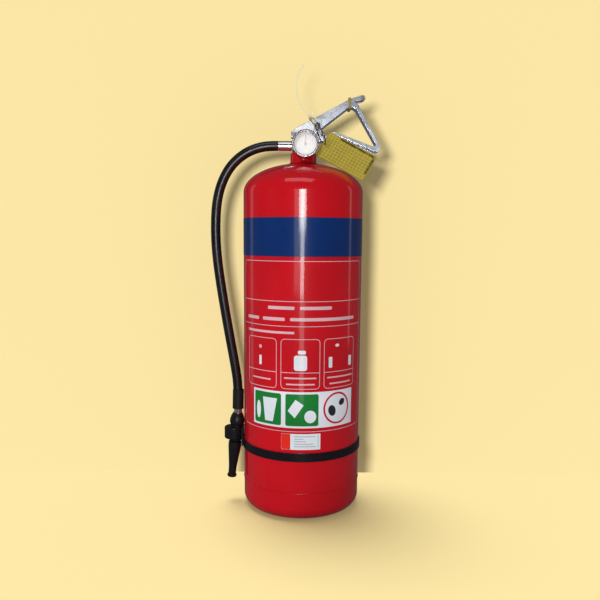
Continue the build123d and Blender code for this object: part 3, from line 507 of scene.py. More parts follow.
def node_tree(name, counts, sizes):
    """Geometry node tree with a named whole number for each count and a named number for each size."""
    tree = bpy.data.node_groups.new(name, "GeometryNodeTree")
    tree.interface.new_socket("Geometry", in_out="OUTPUT", socket_type="NodeSocketGeometry")
    for labels, kind in ((counts, "NodeSocketInt"), (sizes, "NodeSocketFloat")):
        for label in labels:
            tree.interface.new_socket(label, in_out="INPUT", socket_type=kind)
    inputs = tree.nodes.new("NodeGroupInput").outputs
    exit_node = tree.nodes.new("NodeGroupOutput")
    return tree, inputs, exit_node


def combine(tree, x=None, y=None, z=None):
    """Vector from up to three sockets or numbers."""
    node = tree.nodes.new("ShaderNodeCombineXYZ")
    for index, value in enumerate((x, y, z)):
        if isinstance(value, (int, float)):
            node.inputs[index].default_value = value
        elif value is not None:
            tree.links.new(value, node.inputs[index])
    return node.outputs[0]


def maths(tree, operation, first, second):
    """Arithmetic on sockets or numbers."""
    node = tree.nodes.new("ShaderNodeMath")
    node.operation = operation
    for index, value in enumerate((first, second)):
        if isinstance(value, (int, float)):
            node.inputs[index].default_value = value
        else:
            tree.links.new(value, node.inputs[index])
    return node.outputs[0]


def close_tree(tree, exit_node, geometry, material):
    """Realize Instances and Set Material at the end of a tree."""
    real = tree.nodes.new("GeometryNodeRealizeInstances")
    coat = tree.nodes.new("GeometryNodeSetMaterial")
    coat.inputs["Material"].default_value = material
    tree.links.new(geometry, real.inputs["Geometry"])
    tree.links.new(real.outputs["Geometry"], coat.inputs["Geometry"])
    tree.links.new(coat.outputs["Geometry"], exit_node.inputs["Geometry"])


def mesh_from_tree(name, tree, values, place):
    """Runs a tree once and returns its result as a plain mesh, moved to its place."""
    holder = bpy.data.objects.new(name + "_maker", bpy.data.meshes.new(name + "_maker"))
    bpy.context.scene.collection.objects.link(holder)
    modifier = holder.modifiers.new("shape", "NODES")
    modifier.node_group = tree
    for item in tree.interface.items_tree:
        if item.item_type == "SOCKET" and item.in_out == "INPUT":
            modifier[item.identifier] = values[item.name]
    graph = bpy.context.evaluated_depsgraph_get()
    mesh = bpy.data.meshes.new_from_object(holder.evaluated_get(graph), depsgraph=graph)
    if not mesh.polygons:
        raise RuntimeError(name + " came out empty")
    holder.modifiers.remove(modifier)
    bpy.data.objects.remove(holder)
    mesh.name = name
    mesh.transform(place)
    return mesh


def mark_ring_tree(material):
    """Marks on an arc, each a small block that points at the centre."""
    tree, inputs, exit_node = node_tree("dial_marks", ["Count"], ["Radius", "Length", "Width", "Sweep"])
    links = tree.links
    arc = tree.nodes.new("GeometryNodeCurveArc")
    links.new(inputs["Count"], arc.inputs["Resolution"])
    links.new(inputs["Radius"], arc.inputs["Radius"])
    links.new(inputs["Sweep"], arc.inputs["Sweep Angle"])
    half = maths(tree, "MULTIPLY", inputs["Sweep"], 0.5)
    links.new(maths(tree, "SUBTRACT", math.pi / 2, half), arc.inputs["Start Angle"])
    block = tree.nodes.new("GeometryNodeMeshCube")
    links.new(combine(tree, inputs["Width"], inputs["Length"], inputs["Width"]), block.inputs["Size"])
    face_in = tree.nodes.new("FunctionNodeAlignRotationToVector")
    face_in.axis = "Y"
    links.new(tree.nodes.new("GeometryNodeInputPosition").outputs[0], face_in.inputs["Vector"])
    copies = tree.nodes.new("GeometryNodeInstanceOnPoints")
    links.new(arc.outputs["Curve"], copies.inputs["Points"])
    links.new(block.outputs["Mesh"], copies.inputs["Instance"])
    links.new(face_in.outputs["Rotation"], copies.inputs["Rotation"])
    close_tree(tree, exit_node, copies.outputs["Instances"], material)
    return tree


def ruling_tree(material):
    """Rows and columns of thin bars on a card."""
    tree, inputs, exit_node = node_tree("card_ruling", ["Rows", "Columns"], ["Width", "Height", "Line"])
    links = tree.links
    join = tree.nodes.new("GeometryNodeJoinGeometry")
    line = inputs["Line"]
    # thickness of a bar as a part of its width
    flatness = 0.15
    kinds = (("Columns", "Width", "Height", True), ("Rows", "Height", "Width", False))
    for count, span, reach, upright in kinds:
        step = maths(tree, "DIVIDE", inputs[span], maths(tree, "SUBTRACT", inputs[count], 1.0))
        start = maths(tree, "MULTIPLY", inputs[span], -0.5)
        thin = maths(tree, "MULTIPLY", line, flatness)
        if upright:
            first, offset = combine(tree, start, 0.0), combine(tree, step, 0.0)
            size = combine(tree, line, inputs[reach], thin)
        else:
            first, offset = combine(tree, 0.0, start), combine(tree, 0.0, step)
            size = combine(tree, inputs[reach], line, thin)
        row = tree.nodes.new("GeometryNodeMeshLine")
        links.new(inputs[count], row.inputs["Count"])
        links.new(first, row.inputs["Start Location"])
        links.new(offset, row.inputs["Offset"])
        bar = tree.nodes.new("GeometryNodeMeshCube")
        links.new(size, bar.inputs["Size"])
        copies = tree.nodes.new("GeometryNodeInstanceOnPoints")
        links.new(row.outputs["Mesh"], copies.inputs["Points"])
        links.new(bar.outputs["Mesh"], copies.inputs["Instance"])
        links.new(copies.outputs["Instances"], join.inputs["Geometry"])
    close_tree(tree, exit_node, join.outputs["Geometry"], material)
    return tree


# ------------------------------------------------------------------ operators


class CameraOperator(Operator):
    """Camera in front of the gauge, slightly above the middle of the tank"""

    bl_idname = "extinguisher.camera"
    bl_label = "Camera"

    def execute(self, context):
        sizes = context.scene.extinguisher_studio
        data = bpy.data.cameras.new("camera")
        data.lens = sizes.camera_lens
        data.sensor_width = 36.0
        data.shift_x = sizes.shift_right
        data.shift_y = sizes.shift_up
        camera = bpy.data.objects.new("camera", data)
        context.scene.collection.objects.link(camera)
        spot = Matrix.Translation((0.0, -sizes.camera_distance, sizes.camera_height))
        aim = Matrix.Rotation(math.pi / 2 - sizes.camera_pitch, 4, "X")
        camera.matrix_world = spot @ aim @ Matrix.Rotation(sizes.camera_roll, 4, "Z")
        context.scene.camera = camera
        return {"FINISHED"}


class HoseOperator(Operator):
    """Rubber discharge hose from the outlet to the nozzle"""

    bl_idname = "extinguisher.hose"
    bl_label = "Hose"

    def execute(self, context):
        sizes = context.scene.extinguisher_hose
        data = bpy.data.curves.new("discharge_hose", "CURVE")
        data.dimensions = "3D"
        data.bevel_depth = sizes.diameter / 2
        data.bevel_resolution = 10
        data.resolution_u = 24
        data.use_fill_caps = True
        spline = data.splines.new("NURBS")
        spline.points.add(len(HOSE_ROUTE) - 1)
        for point, place in zip(spline.points, HOSE_ROUTE):
            point.co = (*place, 1.0)
        spline.order_u = 3
        spline.use_endpoint_u = True
        hose = bpy.data.objects.new("discharge_hose", data)
        context.scene.collection.objects.link(hose)
        data.materials.append(rubber_finish(context.scene.extinguisher_colours).material)
        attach(hose, BODY)
        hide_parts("hose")
        return {"FINISHED"}


class TankOperator(Operator):
    """Enamel of the tank and film of the blue band"""

    bl_idname = "extinguisher.tank"
    bl_label = "Tank"

    def execute(self, context):
        colours = context.scene.extinguisher_colours
        dress(["tank_shell", "tank_base", "neck_ring"], enamel_finish(colours))
        dress(["blue_band"], film_finish("blue_film", colours.band_blue, 0.1, 0.04))
        dress(["front_label"], film_finish("label_film", colours.label_red))
        dress(["date_sticker"], film_finish("sticker_film", colours.panel_white, 0.25))
        return {"FINISHED"}


class LabelOperator(Operator):
    """Printed lines, bars and plain fields of the front label"""

    bl_idname = "extinguisher.label"
    bl_label = "Front label"

    def execute(self, context):
        sizes = context.scene.extinguisher_label
        low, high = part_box("front_label")
        radius = -low[1]
        finishes = self.inks(context.scene.extinguisher_colours)
        # each layer lies on the one before
        layers = (
            ("label_print", self.draw_lines),
            ("sign_print", self.draw_signs),
            ("figure_print", self.draw_figures),
        )
        for layer, (name, draw) in enumerate(layers, 1):
            work = TankPrint(radius, sizes.bend_step)
            draw(work, sizes, low, high)
            mesh = work.wrap(name, sizes.print_lift * layer)
            finished_piece(name, mesh, finishes, BODY)
        return {"FINISHED"}

    def inks(self, colours):
        """Finishes in the order of PALE, WHITE, GREEN, RED and DARK."""
        tints = {
            "ink_pale": colours.print_pale,
            "ink_white": colours.panel_white,
            "ink_green": colours.sign_green,
            "ink_red": colours.sign_red,
            "ink_dark": colours.sign_dark,
        }
        return [film_finish(name, tint, 0.12, 0.03) for name, tint in tints.items()]

    def draw_lines(self, work, sizes, low, high):
        """Frame, rules, bars in place of words, three boxes with plain figures, and the white field."""
        line = sizes.line_width
        inset, corner_inset = 0.0006, 0.0008
        edge = math.asin(high[0] / work.radius) * work.radius - corner_inset
        work.box_line(-edge, edge, low[2] + inset, high[2] - inset, sizes.frame_corner, line, PALE)
        for height in (0.3238, 0.2886):
            bottom, top = height - line / 2, height + line / 2
            work.fill(rounded_box(-edge + line, edge - line, bottom, top, line * 0.1), PALE)
        # angles from the front in degrees, then the height and thickness in metres
        words = (
            (-33, -7, 0.3145, 0.0046),
            (-2, 28, 0.3145, 0.0046),
            (-62, -44, 0.2985, 0.0046),
            (-39, -16, 0.2985, 0.0046),
            (-11, 57, 0.2985, 0.0046),
            (-61, -7, 0.2795, 0.0034),
        )
        for left, right, height, thickness in words:
            work.bar(left, right, height, thickness, PALE)
        for left, right in ((-60.4, -23.8), (-19.8, 16.9), (20.6, 57.8)):
            start, end = work.along(left), work.along(right)
            work.box_line(start, end, 0.1985, 0.2708, sizes.box_corner, line, PALE)
            work.fill(rounded_box(start + line, end - line, 0.2219, 0.2229, 0.0001), PALE)
        captions = (
            (-53, -30, 0.2108),
            (-16.5, 13.5, 0.2145),
            (-14.5, 12, 0.2055),
            (24, 55.5, 0.2145),
            (26.5, 52.5, 0.2055),
        )
        for left, right, height in captions:
            work.bar(left, right, height, 0.0022, PALE)
        blocks = (
            (-43.6, -40.6, 0.2305, 0.2445, 0.0015),
            (-7.2, 4.8, 0.2255, 0.2475, 0.0035),
            (-3.6, 3.6, 0.2492, 0.2545, 0.0015),
            (25.5, 29.2, 0.2285, 0.2445, 0.0018),
            (49.4, 53.6, 0.2285, 0.2435, 0.0022),
        )
        for left, right, bottom, top, corner in blocks:
            work.panel(left, right, bottom, top, corner, WHITE)
        work.spot(-42.2, 0.2572, 0.0027, 0.0027, PALE)
        work.spot(34.5, 0.2605, 0.0034, 0.0022, WHITE)
        work.panel(-51.6, 55.2, 0.1417, 0.1945, 0.0006, WHITE)

    def draw_signs(self, work, *_):
        """Two green squares, and a red ring round two dark ovals."""
        for left, right in ((-49.6, -19.2), (-15.0, 15.9)):
            work.panel(left, right, 0.1446, 0.1914, 0.003, GREEN)
        ring_x = work.along(35.4)
        work.outline(ellipse(ring_x, 0.1685, 0.0232, 0.0236), ellipse(ring_x, 0.1685, 0.0203, 0.0207), RED)
        work.fill(ellipse(ring_x - 0.009, 0.1655, 0.0062, 0.0082, 0.3), DARK)
        work.fill(ellipse(ring_x + 0.0085, 0.1765, 0.0058, 0.0046, 0.7), DARK)

    def draw_figures(self, work, *_):
        """Plain white shapes on the green squares."""
        vessel = ((-36.2, 0.1492), (-27.6, 0.1492), (-23.2, 0.1838), (-38.8, 0.1838))
        packet = ((-6.2, 0.1565), (2.0, 0.1755), (-5.6, 0.1835), (-12.8, 0.1668))
        for outline in (vessel, packet):
            work.fill([(work.along(angle), height) for angle, height in outline], WHITE)
        work.spot(-44.2, 0.164, 0.0042, 0.013, WHITE)
        work.spot(8.2, 0.1585, 0.0086, 0.0092, WHITE)


class StickerOperator(Operator):
    """Date sticker with an orange end and faint ruled lines"""

    bl_idname = "extinguisher.sticker"
    bl_label = "Date sticker"

    def execute(self, context):
        colours = context.scene.extinguisher_colours
        sizes = context.scene.extinguisher_label
        low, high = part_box("date_sticker")
        work = TankPrint(-low[1], sizes.bend_step)
        orange, grey, green = range(3)
        inset = 0.0002
        bottom, top = low[2] + inset, high[2] - inset
        work.panel(-18.9, -10.2, bottom, top, 0.0002, orange)
        rows = (
            (-6.5, 13, 0.1292),
            (-6.5, 2, 0.1255),
            (-6.5, 4.5, 0.1218),
            (-6.5, 11, 0.1181),
            (-6.5, 13.5, 0.1144),
        )
        for left, right, height in rows:
            work.bar(left, right, height, 0.0011, grey)
        work.panel(15.4, 16.2, 0.1125, 0.131, 0.0001, green)
        finishes = [
            film_finish("sticker_orange", colours.sticker_orange, 0.2),
            film_finish("sticker_grey", (0.36, 0.4, 0.45), 0.25),
            film_finish("sticker_green", (0.35, 0.6, 0.42), 0.25),
        ]
        mesh = work.wrap("sticker_print", sizes.print_lift)
        finished_piece("sticker_print", mesh, finishes, BODY)
        return {"FINISHED"}


class ValveOperator(Operator):
    """Plated valve, coupling, lever, handle and the small steel pieces"""

    bl_idname = "extinguisher.valve"
    bl_label = "Valve and handle"

    def execute(self, context):
        tints = (0.86, 0.87, 0.9), (0.74, 0.75, 0.8)
        plated = surface("polished_plate", tints, 260.0, (0.09, 0.2), (0.05, 0.0002), 0.95)
        dress(["hose_coupling", "nozzle_insert"], plated)
        tints = (0.9, 0.91, 0.92), (0.7, 0.72, 0.76)
        grain = (0.3, 1.0, 0.5)
        lever = surface("bright_zinc", tints, 130.0, (0.12, 0.28), (0.05, 0.0003), 0.8, grain, edge=0.0009)
        dress(["squeeze_lever"], lever)
        tints = (0.82, 0.86, 0.94), (0.6, 0.64, 0.72)
        grain = (0.4, 1.0, 0.4)
        handle = surface("drawn_zinc", tints, 130.0, (0.12, 0.3), (0.05, 0.0003), 0.8, grain, edge=0.0009)
        dress(["carry_handle"], handle)
        tints = (0.4, 0.37, 0.34), (0.24, 0.22, 0.2)
        cast = surface("cast_nickel", tints, 420.0, (0.24, 0.4), (0.2, 0.0003), 0.9, edge=0.0006)
        dress(["valve_body"], cast)
        # painted shade: the steel wire pieces get a darker tint for the shade that the pin and ring sit in
        tints = (0.36, 0.35, 0.34), (0.2, 0.195, 0.19)
        wire = surface("wire_with_painted_shade", tints, 500.0, (0.14, 0.3), (0.08, 0.0002), 0.9)
        dress(["handle_screws", "lever_pivot", "safety_pin", "pull_ring", "valve_spring", "jet_plate"], wire)
        tints = (0.74, 0.52, 0.22), (0.62, 0.42, 0.17)
        brass = surface("turned_brass", tints, 600.0, (0.2, 0.36), (0.1, 0.0002), 1.0)
        dress(["valve_stem", "bourdon_tube", "gauge_spindle"], brass)
        tints = (0.014, 0.014, 0.015), (0.026, 0.026, 0.028)
        seal = surface("seal_rubber", tints, 300.0, (0.4, 0.6), (0.1, 0.0002))
        dress(["neck_seal", "stem_seal", "seat_washer"], seal)
        tints = (0.72, 0.75, 0.76), (0.6, 0.63, 0.64)
        clear = surface("pale_plastic", tints, 120.0, (0.3, 0.45), (0.05, 0.0003))
        dress(["dip_tube", "outlet_washer", "gauge_washer"], clear)
        return {"FINISHED"}


class GaugeOperator(Operator):
    """Gauge with a plain dial, marks, numbers and a pale needle"""

    bl_idname = "extinguisher.gauge"
    bl_label = "Gauge"

    def execute(self, context):
        colours = context.scene.extinguisher_colours
        sizes = context.scene.extinguisher_gauge
        tints = (0.42, 0.36, 0.37), (0.3, 0.26, 0.27)
        bezel = surface("bezel_chrome", tints, 300.0, (0.12, 0.24), (0.05, 0.0002), 1.0)
        dress(["gauge_bezel", "gauge_case"], bezel)
        tint = tuple(colours.dial)
        dial = surface("dial_enamel", (tint, shade(tint, 0.96)), 80.0, (0.35, 0.45), (0.02, 0.0002))
        dress(["gauge_dial"], dial)
        tints = (0.74, 0.66, 0.62), (0.68, 0.6, 0.56)
        dress(["gauge_pointer"], surface("needle_paint", tints, 400.0, (0.35, 0.5), (0.04, 0.0002)))
        dress(["gauge_window"], window_finish())
        tints = (0.84, 0.79, 0.75), (0.78, 0.73, 0.7)
        ink = surface("dial_ink", tints, 500.0, (0.4, 0.55), (0.03, 0.0001))
        low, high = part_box("gauge_dial")
        centre = Vector(((low[0] + high[0]) / 2, low[1] - sizes.dial_lift, (low[2] + high[2]) / 2))
        place = Matrix.Translation(centre) @ Matrix.Rotation(math.pi / 2, 4, "X")
        values = {
            "Count": sizes.mark_count,
            "Radius": sizes.mark_radius,
            "Length": sizes.mark_length,
            "Width": sizes.mark_width,
            "Sweep": sizes.sweep,
        }
        marks = mesh_from_tree("dial_marks", mark_ring_tree(ink.material), values, place)
        shapes = bmesh.new()
        shapes.from_mesh(marks)
        numbers = ("0", "5", "10", "15")
        for place_in_row, number in enumerate(numbers):
            angle = math.pi / 2 + sizes.sweep / 2 - place_in_row * sizes.sweep / (len(numbers) - 1)
            reach = sizes.mark_radius - sizes.number_inset
            spot = Matrix.Translation((reach * math.cos(angle), reach * math.sin(angle), 0.0))
            flat = self.number_mesh(number, sizes)
            flat.transform(place @ spot)
            shapes.from_mesh(flat)
        mesh = bpy.data.meshes.new("dial_print")
        shapes.to_mesh(mesh)
        shapes.free()
        finished_piece("dial_print", mesh, [ink], BODY)
        return {"FINISHED"}

    def number_mesh(self, number, sizes):
        """Flat mesh of a number, centred."""
        text = bpy.data.curves.new("number", "FONT")
        text.body = number
        text.size = sizes.number_size
        text.extrude = sizes.ink_depth
        text.align_x = "CENTER"
        text.align_y = "CENTER"
        holder = bpy.data.objects.new("number", text)
        flat = bpy.data.meshes.new_from_object(holder)
        bpy.data.objects.remove(holder)
        return flat


class SealOperator(Operator):
    """Tamper seal and grip band"""

    bl_idname = "extinguisher.seal"
    bl_label = "Seal and band"

    def execute(self, context):
        colours = context.scene.extinguisher_colours
        nylon, band = tuple(colours.nylon), tuple(colours.band_nylon)
        for node, name, tint in (("tamper_seal", "seal_nylon", nylon), ("grip_band", "band_nylon", band)):
            finish = surface(name, (tint, shade(tint, 0.75)), 350.0, (0.32, 0.5), (0.08, 0.0002))
            finish.put({"Subsurface Weight": 0.15, "Subsurface Scale": 0.001})
            if node == "tamper_seal":
                # the loop and head are yellowed, the tail above them is pale
                finish.put({"Base Color": finish.blend(finish.height(), band, tint, 0.584, 0.59)})
            dress([node], finish)
        return {"FINISHED"}


class TagOperator(Operator):
    """Inspection tag with its ruling and painted shade along its top and end edges"""

    bl_idname = "extinguisher.tag"
    bl_label = "Inspection tag"

    def execute(self, context):
        colours = context.scene.extinguisher_colours
        sizes = context.scene.extinguisher_tag
        dress(["inspection_tag"], card_finish(colours))
        tint = tuple(colours.card_line)
        ink = surface("ruling_ink", (tint, shade(tint, 1.25)), 200.0, (0.45, 0.6), (0.05, 0.0001))
        width, height, place = self.card_face()
        values = {
            "Rows": sizes.rows,
            "Columns": sizes.columns,
            "Width": width - 2 * sizes.margin,
            "Height": height - 2 * sizes.margin,
            "Line": sizes.line_width,
        }
        mesh = mesh_from_tree("tag_ruling", ruling_tree(ink.material), values, place)
        finished_piece("tag_ruling", mesh, [ink], "tag")
        # left, right, low and high of the painted shade strip along the top, then of the one at the end
        half_width, half_height, band = width / 2, height / 2, sizes.shade_strip_width
        top_edge = (-half_width * 0.5, half_width * 0.93, half_height - 1.5 * band, half_height - 0.5 * band)
        end_edge = (half_width - 1.6 * band, half_width - 0.5 * band, -half_height * 0.5, half_height * 0.8)
        strips = bmesh.new()
        for edge in (top_edge, end_edge):
            points = rounded_box(*edge, band * 0.3)
            strips.faces.new([strips.verts.new((x, y, sizes.shade_strip_lift)) for x, y in points])
        # mesh of the painted shade strips, laid just over the card's face
        edge_shade_mesh = bpy.data.meshes.new("tag_edge_shade")
        strips.to_mesh(edge_shade_mesh)
        strips.free()
        edge_shade_mesh.transform(place)
        finished_piece("tag_edge_shade", edge_shade_mesh, [edge_shade_finish(colours)], "tag")
        return {"FINISHED"}

    def card_face(self):
        """Width and height of the card's front face, and the matrix that lays a flat drawing on it."""
        spots = [vert.co.copy() for vert in frame["nodes"]["inspection_tag"].data.vertices]
        joint = next(joint for joint in frame["joints"] if joint["name"] == "tag_swing")
        out = Vector(joint["axis"]).normalized()
        front = max(spot.dot(out) for spot in spots)
        # points this near the front lie on the front face
        nearness = 0.0001
        face = [spot for spot in spots if spot.dot(out) > front - nearness]
        level = Vector((0, 0, 1)).cross(out).normalized()
        # the turn at which the box round the face is smallest, tried in half degrees
        best = None
        for step in range(-90, 91):
            across = Matrix.Rotation(math.radians(step / 2), 3, out) @ level
            up = out.cross(across)
            x = [spot.dot(across) for spot in face]
            z = [spot.dot(up) for spot in face]
            width, height = max(x) - min(x), max(z) - min(z)
            if best is None or width * height < best[0] * best[1]:
                middle = across * (min(x) + max(x)) / 2 + up * (min(z) + max(z)) / 2 + out * front
                turned = Matrix((across, up, out)).transposed().to_4x4()
                best = (width, height, Matrix.Translation(middle) @ turned)
        if best[0] < best[1]:
            raise RuntimeError("the card came out upright")
        return best


class NozzleOperator(Operator):
    """Moulded nozzle, clip, sleeve and strap"""

    bl_idname = "extinguisher.nozzle"
    bl_label = "Nozzle and strap"

    def execute(self, context):
        colours = context.scene.extinguisher_colours
        tint = tuple(colours.plastic)
        tints = tint, shade(tint, 1.7)
        moulded = surface("moulded_plastic", tints, 700.0, (0.26, 0.4), (0.12, 0.0002), specular=0.3)
        dress(["nozzle_body", "nozzle_tip", "nozzle_clip", "tube_adapter", "tube_strainer"], moulded)
        tints = shade(tint, 1.2), shade(tint, 2.2)
        sleeve = surface("sleeve_rubber", tints, 500.0, (0.4, 0.55), (0.14, 0.0002), specular=0.3)
        dress(["hose_sleeve"], sleeve)
        tint = tuple(colours.strap)
        weave = (1.0, 1.0, 6.0)
        tints = tint, shade(tint, 1.8)
        strap = surface("strap_nylon", tints, 160.0, (0.24, 0.38), (0.12, 0.0003), 0.0, weave, 0.3)
        dress(["tank_strap"], strap)
        return {"FINISHED"}


class StudioOperator(Operator):
    """Plain pale floor and wall, soft lamps and a dim surround"""

    bl_idname = "extinguisher.studio"
    bl_label = "Studio"

    def execute(self, context):
        scene = context.scene
        scene.view_settings.view_transform = "Standard"
        sizes = scene.extinguisher_studio
        tint = tuple(scene.extinguisher_colours.backdrop)
        paper = self.backdrop_material("floor_paper", tint, sizes.floor_glow, sizes.floor_paper)
        # just under the tank, so that the two don't share a plane
        floor = self.plane("floor", paper, Matrix.Translation((0, 0, -0.0002)))
        paper = self.backdrop_material("wall_paper", tint, sizes.wall_glow, sizes.wall_paper)
        upright = Matrix.Rotation(math.pi / 2, 4, "X")
        wall = self.plane("wall", paper, Matrix.Translation((0, sizes.wall_distance, 0)) @ upright)
        wall.visible_diffuse = False
        wall.visible_transmission = False
        wall.visible_shadow = False
        backdrop = (floor, wall)
        for piece in backdrop:
            piece.visible_glossy = False
        self.world(scene, tint)
        # each object is in one group only, so that every run lights it the same way
        solid = [piece for piece in scene.objects if piece.type in {"MESH", "CURVE"}]
        pieces = [piece for piece in solid if piece not in backdrop]
        self.wall_lamp(sizes, self.group("on_wall", [wall]))
        self.sun("floor_sun", (-145.0, 76.0), 30.0, sizes.floor_sun, self.group("on_floor", [floor]))
        on_pieces = self.group("on_pieces", pieces)
        self.sun("key_sun", (-32.0, 34.0), 16.0, sizes.key_sun, on_pieces)
        strip = sizes.strip_lamp
        # name, place, width and height, power in watts, height that it points at on the tank's axis
        boxes = (
            ("front_top", (-0.012, -1.32, 0.52), (0.3, 0.16), strip * 0.4, 0.47),
            ("front_strip", (-0.012, -1.32, 0.41), (0.15, 0.38), strip * 0.42, 0.38),
            ("front_low", (-0.012, -1.32, 0.04), (0.2, 0.32), strip * 0.1, 0.05),
            ("front_wide", (-0.2, -1.3, 0.42), (0.3, 0.36), strip * 0.1, 0.4),
            ("left_box", (-1.1, -0.7, 0.6), (0.3, 0.9), 1.4, 0.35),
            ("right_rim", (0.97, 0.14, 0.5), (0.09, 0.8), 0.2, 0.35),
            ("left_rim", (-0.95, 0.35, 0.45), (0.16, 1.0), 0.25, 0.35),
            ("top_box", (-0.1, -0.45, 1.5), (0.8, 0.4), 1.8, 0.5),
        )
        for name, spot, size, power, aim in boxes:
            lamp = self.box_lamp(name, spot, size, power, aim, on_pieces)
            # the left one only fills, the others show as highlights too
            lamp.visible_glossy = name != "left_box"
        return {"FINISHED"}

    def group(self, name, pieces):
        """Collection that a lamp shines on."""
        group = bpy.data.collections.new(name)
        for piece in pieces:
            group.objects.link(piece)
        return group

    def plane(self, name, paper, place):
        """Flat square of paper, six metres wide."""
        mesh = bpy.data.meshes.new(name)
        half = 3.0
        corners = [(-half, -half, 0), (half, -half, 0), (half, half, 0), (-half, half, 0)]
        mesh.from_pydata(corners, [], [(0, 1, 2, 3)])
        mesh.transform(place)
        mesh.materials.append(paper)
        piece = bpy.data.objects.new(name, mesh)
        bpy.context.scene.collection.objects.link(piece)
        return piece

    def mix(self, tree, factor, first, second):
        """First shader where the factor is zero, second where it is one."""
        node = tree.nodes.new("ShaderNodeMixShader")
        for source, socket in zip((factor, first, second), node.inputs):
            tree.links.new(source, socket)
        return node.outputs[0]

    def coloured(self, tree, kind, tint, strength=None):
        """Shader of one colour."""
        node = tree.nodes.new(kind)
        node.inputs["Color"].default_value = (*tint, 1.0)
        if strength is not None:
            node.inputs["Strength"].default_value = strength
        return node.outputs[0]

    def backdrop_material(self, name, tint, glow, paper):
        """Paper that is partly self-lit for the camera, neutral for other rays, and clear from behind."""
        material = bpy.data.materials.new(name)
        material.use_nodes = True
        tree = material.node_tree
        tree.nodes.remove(tree.nodes["Principled BSDF"])
        plain = self.coloured(tree, "ShaderNodeBsdfDiffuse", (0.62, 0.62, 0.62))
        drawn = self.coloured(tree, "ShaderNodeBsdfDiffuse", shade(tint, paper))
        light = self.coloured(tree, "ShaderNodeEmission", tint, glow)
        seen = tree.nodes.new("ShaderNodeAddShader")
        tree.links.new(drawn, seen.inputs[0])
        tree.links.new(light, seen.inputs[1])
        rays = tree.nodes.new("ShaderNodeLightPath")
        front = self.mix(tree, rays.outputs["Is Camera Ray"], plain, seen.outputs[0])
        side = tree.nodes.new("ShaderNodeNewGeometry")
        clear = tree.nodes.new("ShaderNodeBsdfTransparent")
        last = self.mix(tree, side.outputs["Backfacing"], front, clear.outputs[0])
        tree.links.new(last, tree.nodes["Material Output"].inputs["Surface"])
        return material

    def world(self, scene, tint):
        """Backdrop colour for the camera, soft neutral light for the rest."""
        world = bpy.data.worlds.new("surround")
        scene.world = world
        world.use_nodes = True
        tree = world.node_tree
        seen = tree.nodes["Background"]
        seen.inputs["Color"].default_value = (*tint, 1.0)
        sizes = scene.extinguisher_studio
        soft = self.coloured(tree, "ShaderNodeBackground", (1.0, 1.0, 1.0), sizes.soft_light)
        dim = self.coloured(tree, "ShaderNodeBackground", (0.92, 0.94, 1.0), sizes.dim_light)
        rays = tree.nodes.new("ShaderNodeLightPath")
        glossy = self.mix(tree, rays.outputs["Is Glossy Ray"], soft, dim)
        last = self.mix(tree, rays.outputs["Is Camera Ray"], glossy, seen.outputs[0])
        tree.links.new(last, tree.nodes["World Output"].inputs["Surface"])

    def lamp(self, name, kind, energy, receivers):
        """Lamp that lights only some pieces, left out of reflections to begin with."""
        data = bpy.data.lights.new(name, kind)
        data.energy = energy
        lamp = bpy.data.objects.new(name, data)
        bpy.context.scene.collection.objects.link(lamp)
        lamp.visible_glossy = False
        lamp.light_linking.receiver_collection = receivers
        return lamp

    def sun(self, name, direction, softness, strength, receivers):
        """Distant lamp; direction is (to the right of the front, up) in degrees."""
        lamp = self.lamp(name, "SUN", strength, receivers)
        lamp.data.angle = math.radians(softness)
        side, rise = (math.radians(value) for value in direction)
        towards = Vector((math.sin(side) * math.cos(rise), -math.cos(side) * math.cos(rise), math.sin(rise)))
        lamp.rotation_euler = towards.to_track_quat("Z", "Y").to_euler()

    def box_lamp(self, name, spot, size, power, aim, receivers):
        """Rectangular soft lamp, never seen by the camera."""
        lamp = self.lamp(name, "AREA", power, receivers)
        lamp.data.shape = "RECTANGLE"
        lamp.data.size, lamp.data.size_y = size
        lamp.location = spot
        lamp.rotation_euler = (Vector(spot) - Vector((0, 0, aim))).to_track_quat("Z", "Y").to_euler()
        lamp.visible_camera = False
        return lamp

    def wall_lamp(self, sizes, receivers):
        """Lamp beside the camera that lights the flat wall evenly and throws a soft shadow on it."""
        lamp = self.lamp("wall_lamp", "POINT", sizes.wall_lamp, receivers)
        aside, above = -0.15, 0.12
        lamp.location = (aside, -sizes.camera_distance, sizes.camera_height + above)
        data = lamp.data
        data.shadow_soft_size = 0.075
        data.use_nodes = True
        tree = data.node_tree
        fade = tree.nodes.new("ShaderNodeLightFalloff")
        fade.inputs["Strength"].default_value = 1.0
        constant = fade.outputs["Constant"]
        # the falloff makes up for the longer way to the wall's corners
        even = maths(tree, "DIVIDE", maths(tree, "MULTIPLY", constant, constant), fade.outputs["Linear"])
        tree.links.new(even, tree.nodes["Emission"].inputs["Strength"])


class ExtinguisherPanel(Panel):
    """Steps of the extinguisher in the 3D view's sidebar."""

    bl_idname = "VIEW3D_PT_extinguisher"
    bl_label = "Extinguisher"
    bl_space_type = "VIEW_3D"
    bl_region_type = "UI"
    bl_category = "Extinguisher"

    def draw(self, context):
        for step in STEPS:
            self.layout.operator(step.bl_idname)
        for group in PROPERTY_GROUPS:
            box = self.layout.box()
            values = getattr(context.scene, group)
            for name in type(values).__annotations__:
                box.prop(values, name)


STEPS = (
    CameraOperator,
    HoseOperator,
    TankOperator,
    LabelOperator,
    StickerOperator,
    ValveOperator,
    GaugeOperator,
    SealOperator,
    TagOperator,
    NozzleOperator,
    StudioOperator,
)

PROPERTY_GROUPS = {
    "extinguisher_colours": ExtinguisherColours,
    "extinguisher_label": LabelSizes,
    "extinguisher_gauge": GaugeSizes,
    "extinguisher_tag": TagSizes,
    "extinguisher_hose": HoseSizes,
    "extinguisher_studio": StudioSizes,
}


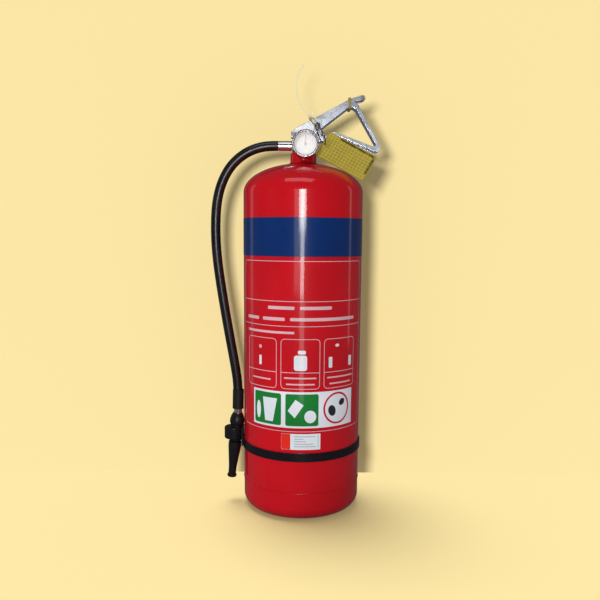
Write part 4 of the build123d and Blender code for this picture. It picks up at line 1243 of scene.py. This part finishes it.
def register():
    """Adds the classes and the scene's properties."""
    for name, group in PROPERTY_GROUPS.items():
        bpy.utils.register_class(group)
        setattr(bpy.types.Scene, name, PointerProperty(type=group))
    for step in STEPS:
        bpy.utils.register_class(step)
    bpy.utils.register_class(ExtinguisherPanel)


def unregister():
    """Takes the classes and the scene's properties away."""
    bpy.utils.unregister_class(ExtinguisherPanel)
    for step in reversed(STEPS):
        bpy.utils.unregister_class(step)
    for name, group in PROPERTY_GROUPS.items():
        delattr(bpy.types.Scene, name)
        bpy.utils.unregister_class(group)


def main():
    """Builds everything in order."""
    register()
    for step in STEPS:
        family, action = step.bl_idname.split(".")
        getattr(getattr(bpy.ops, family), action)()


if __name__ == "__main__":
    main()
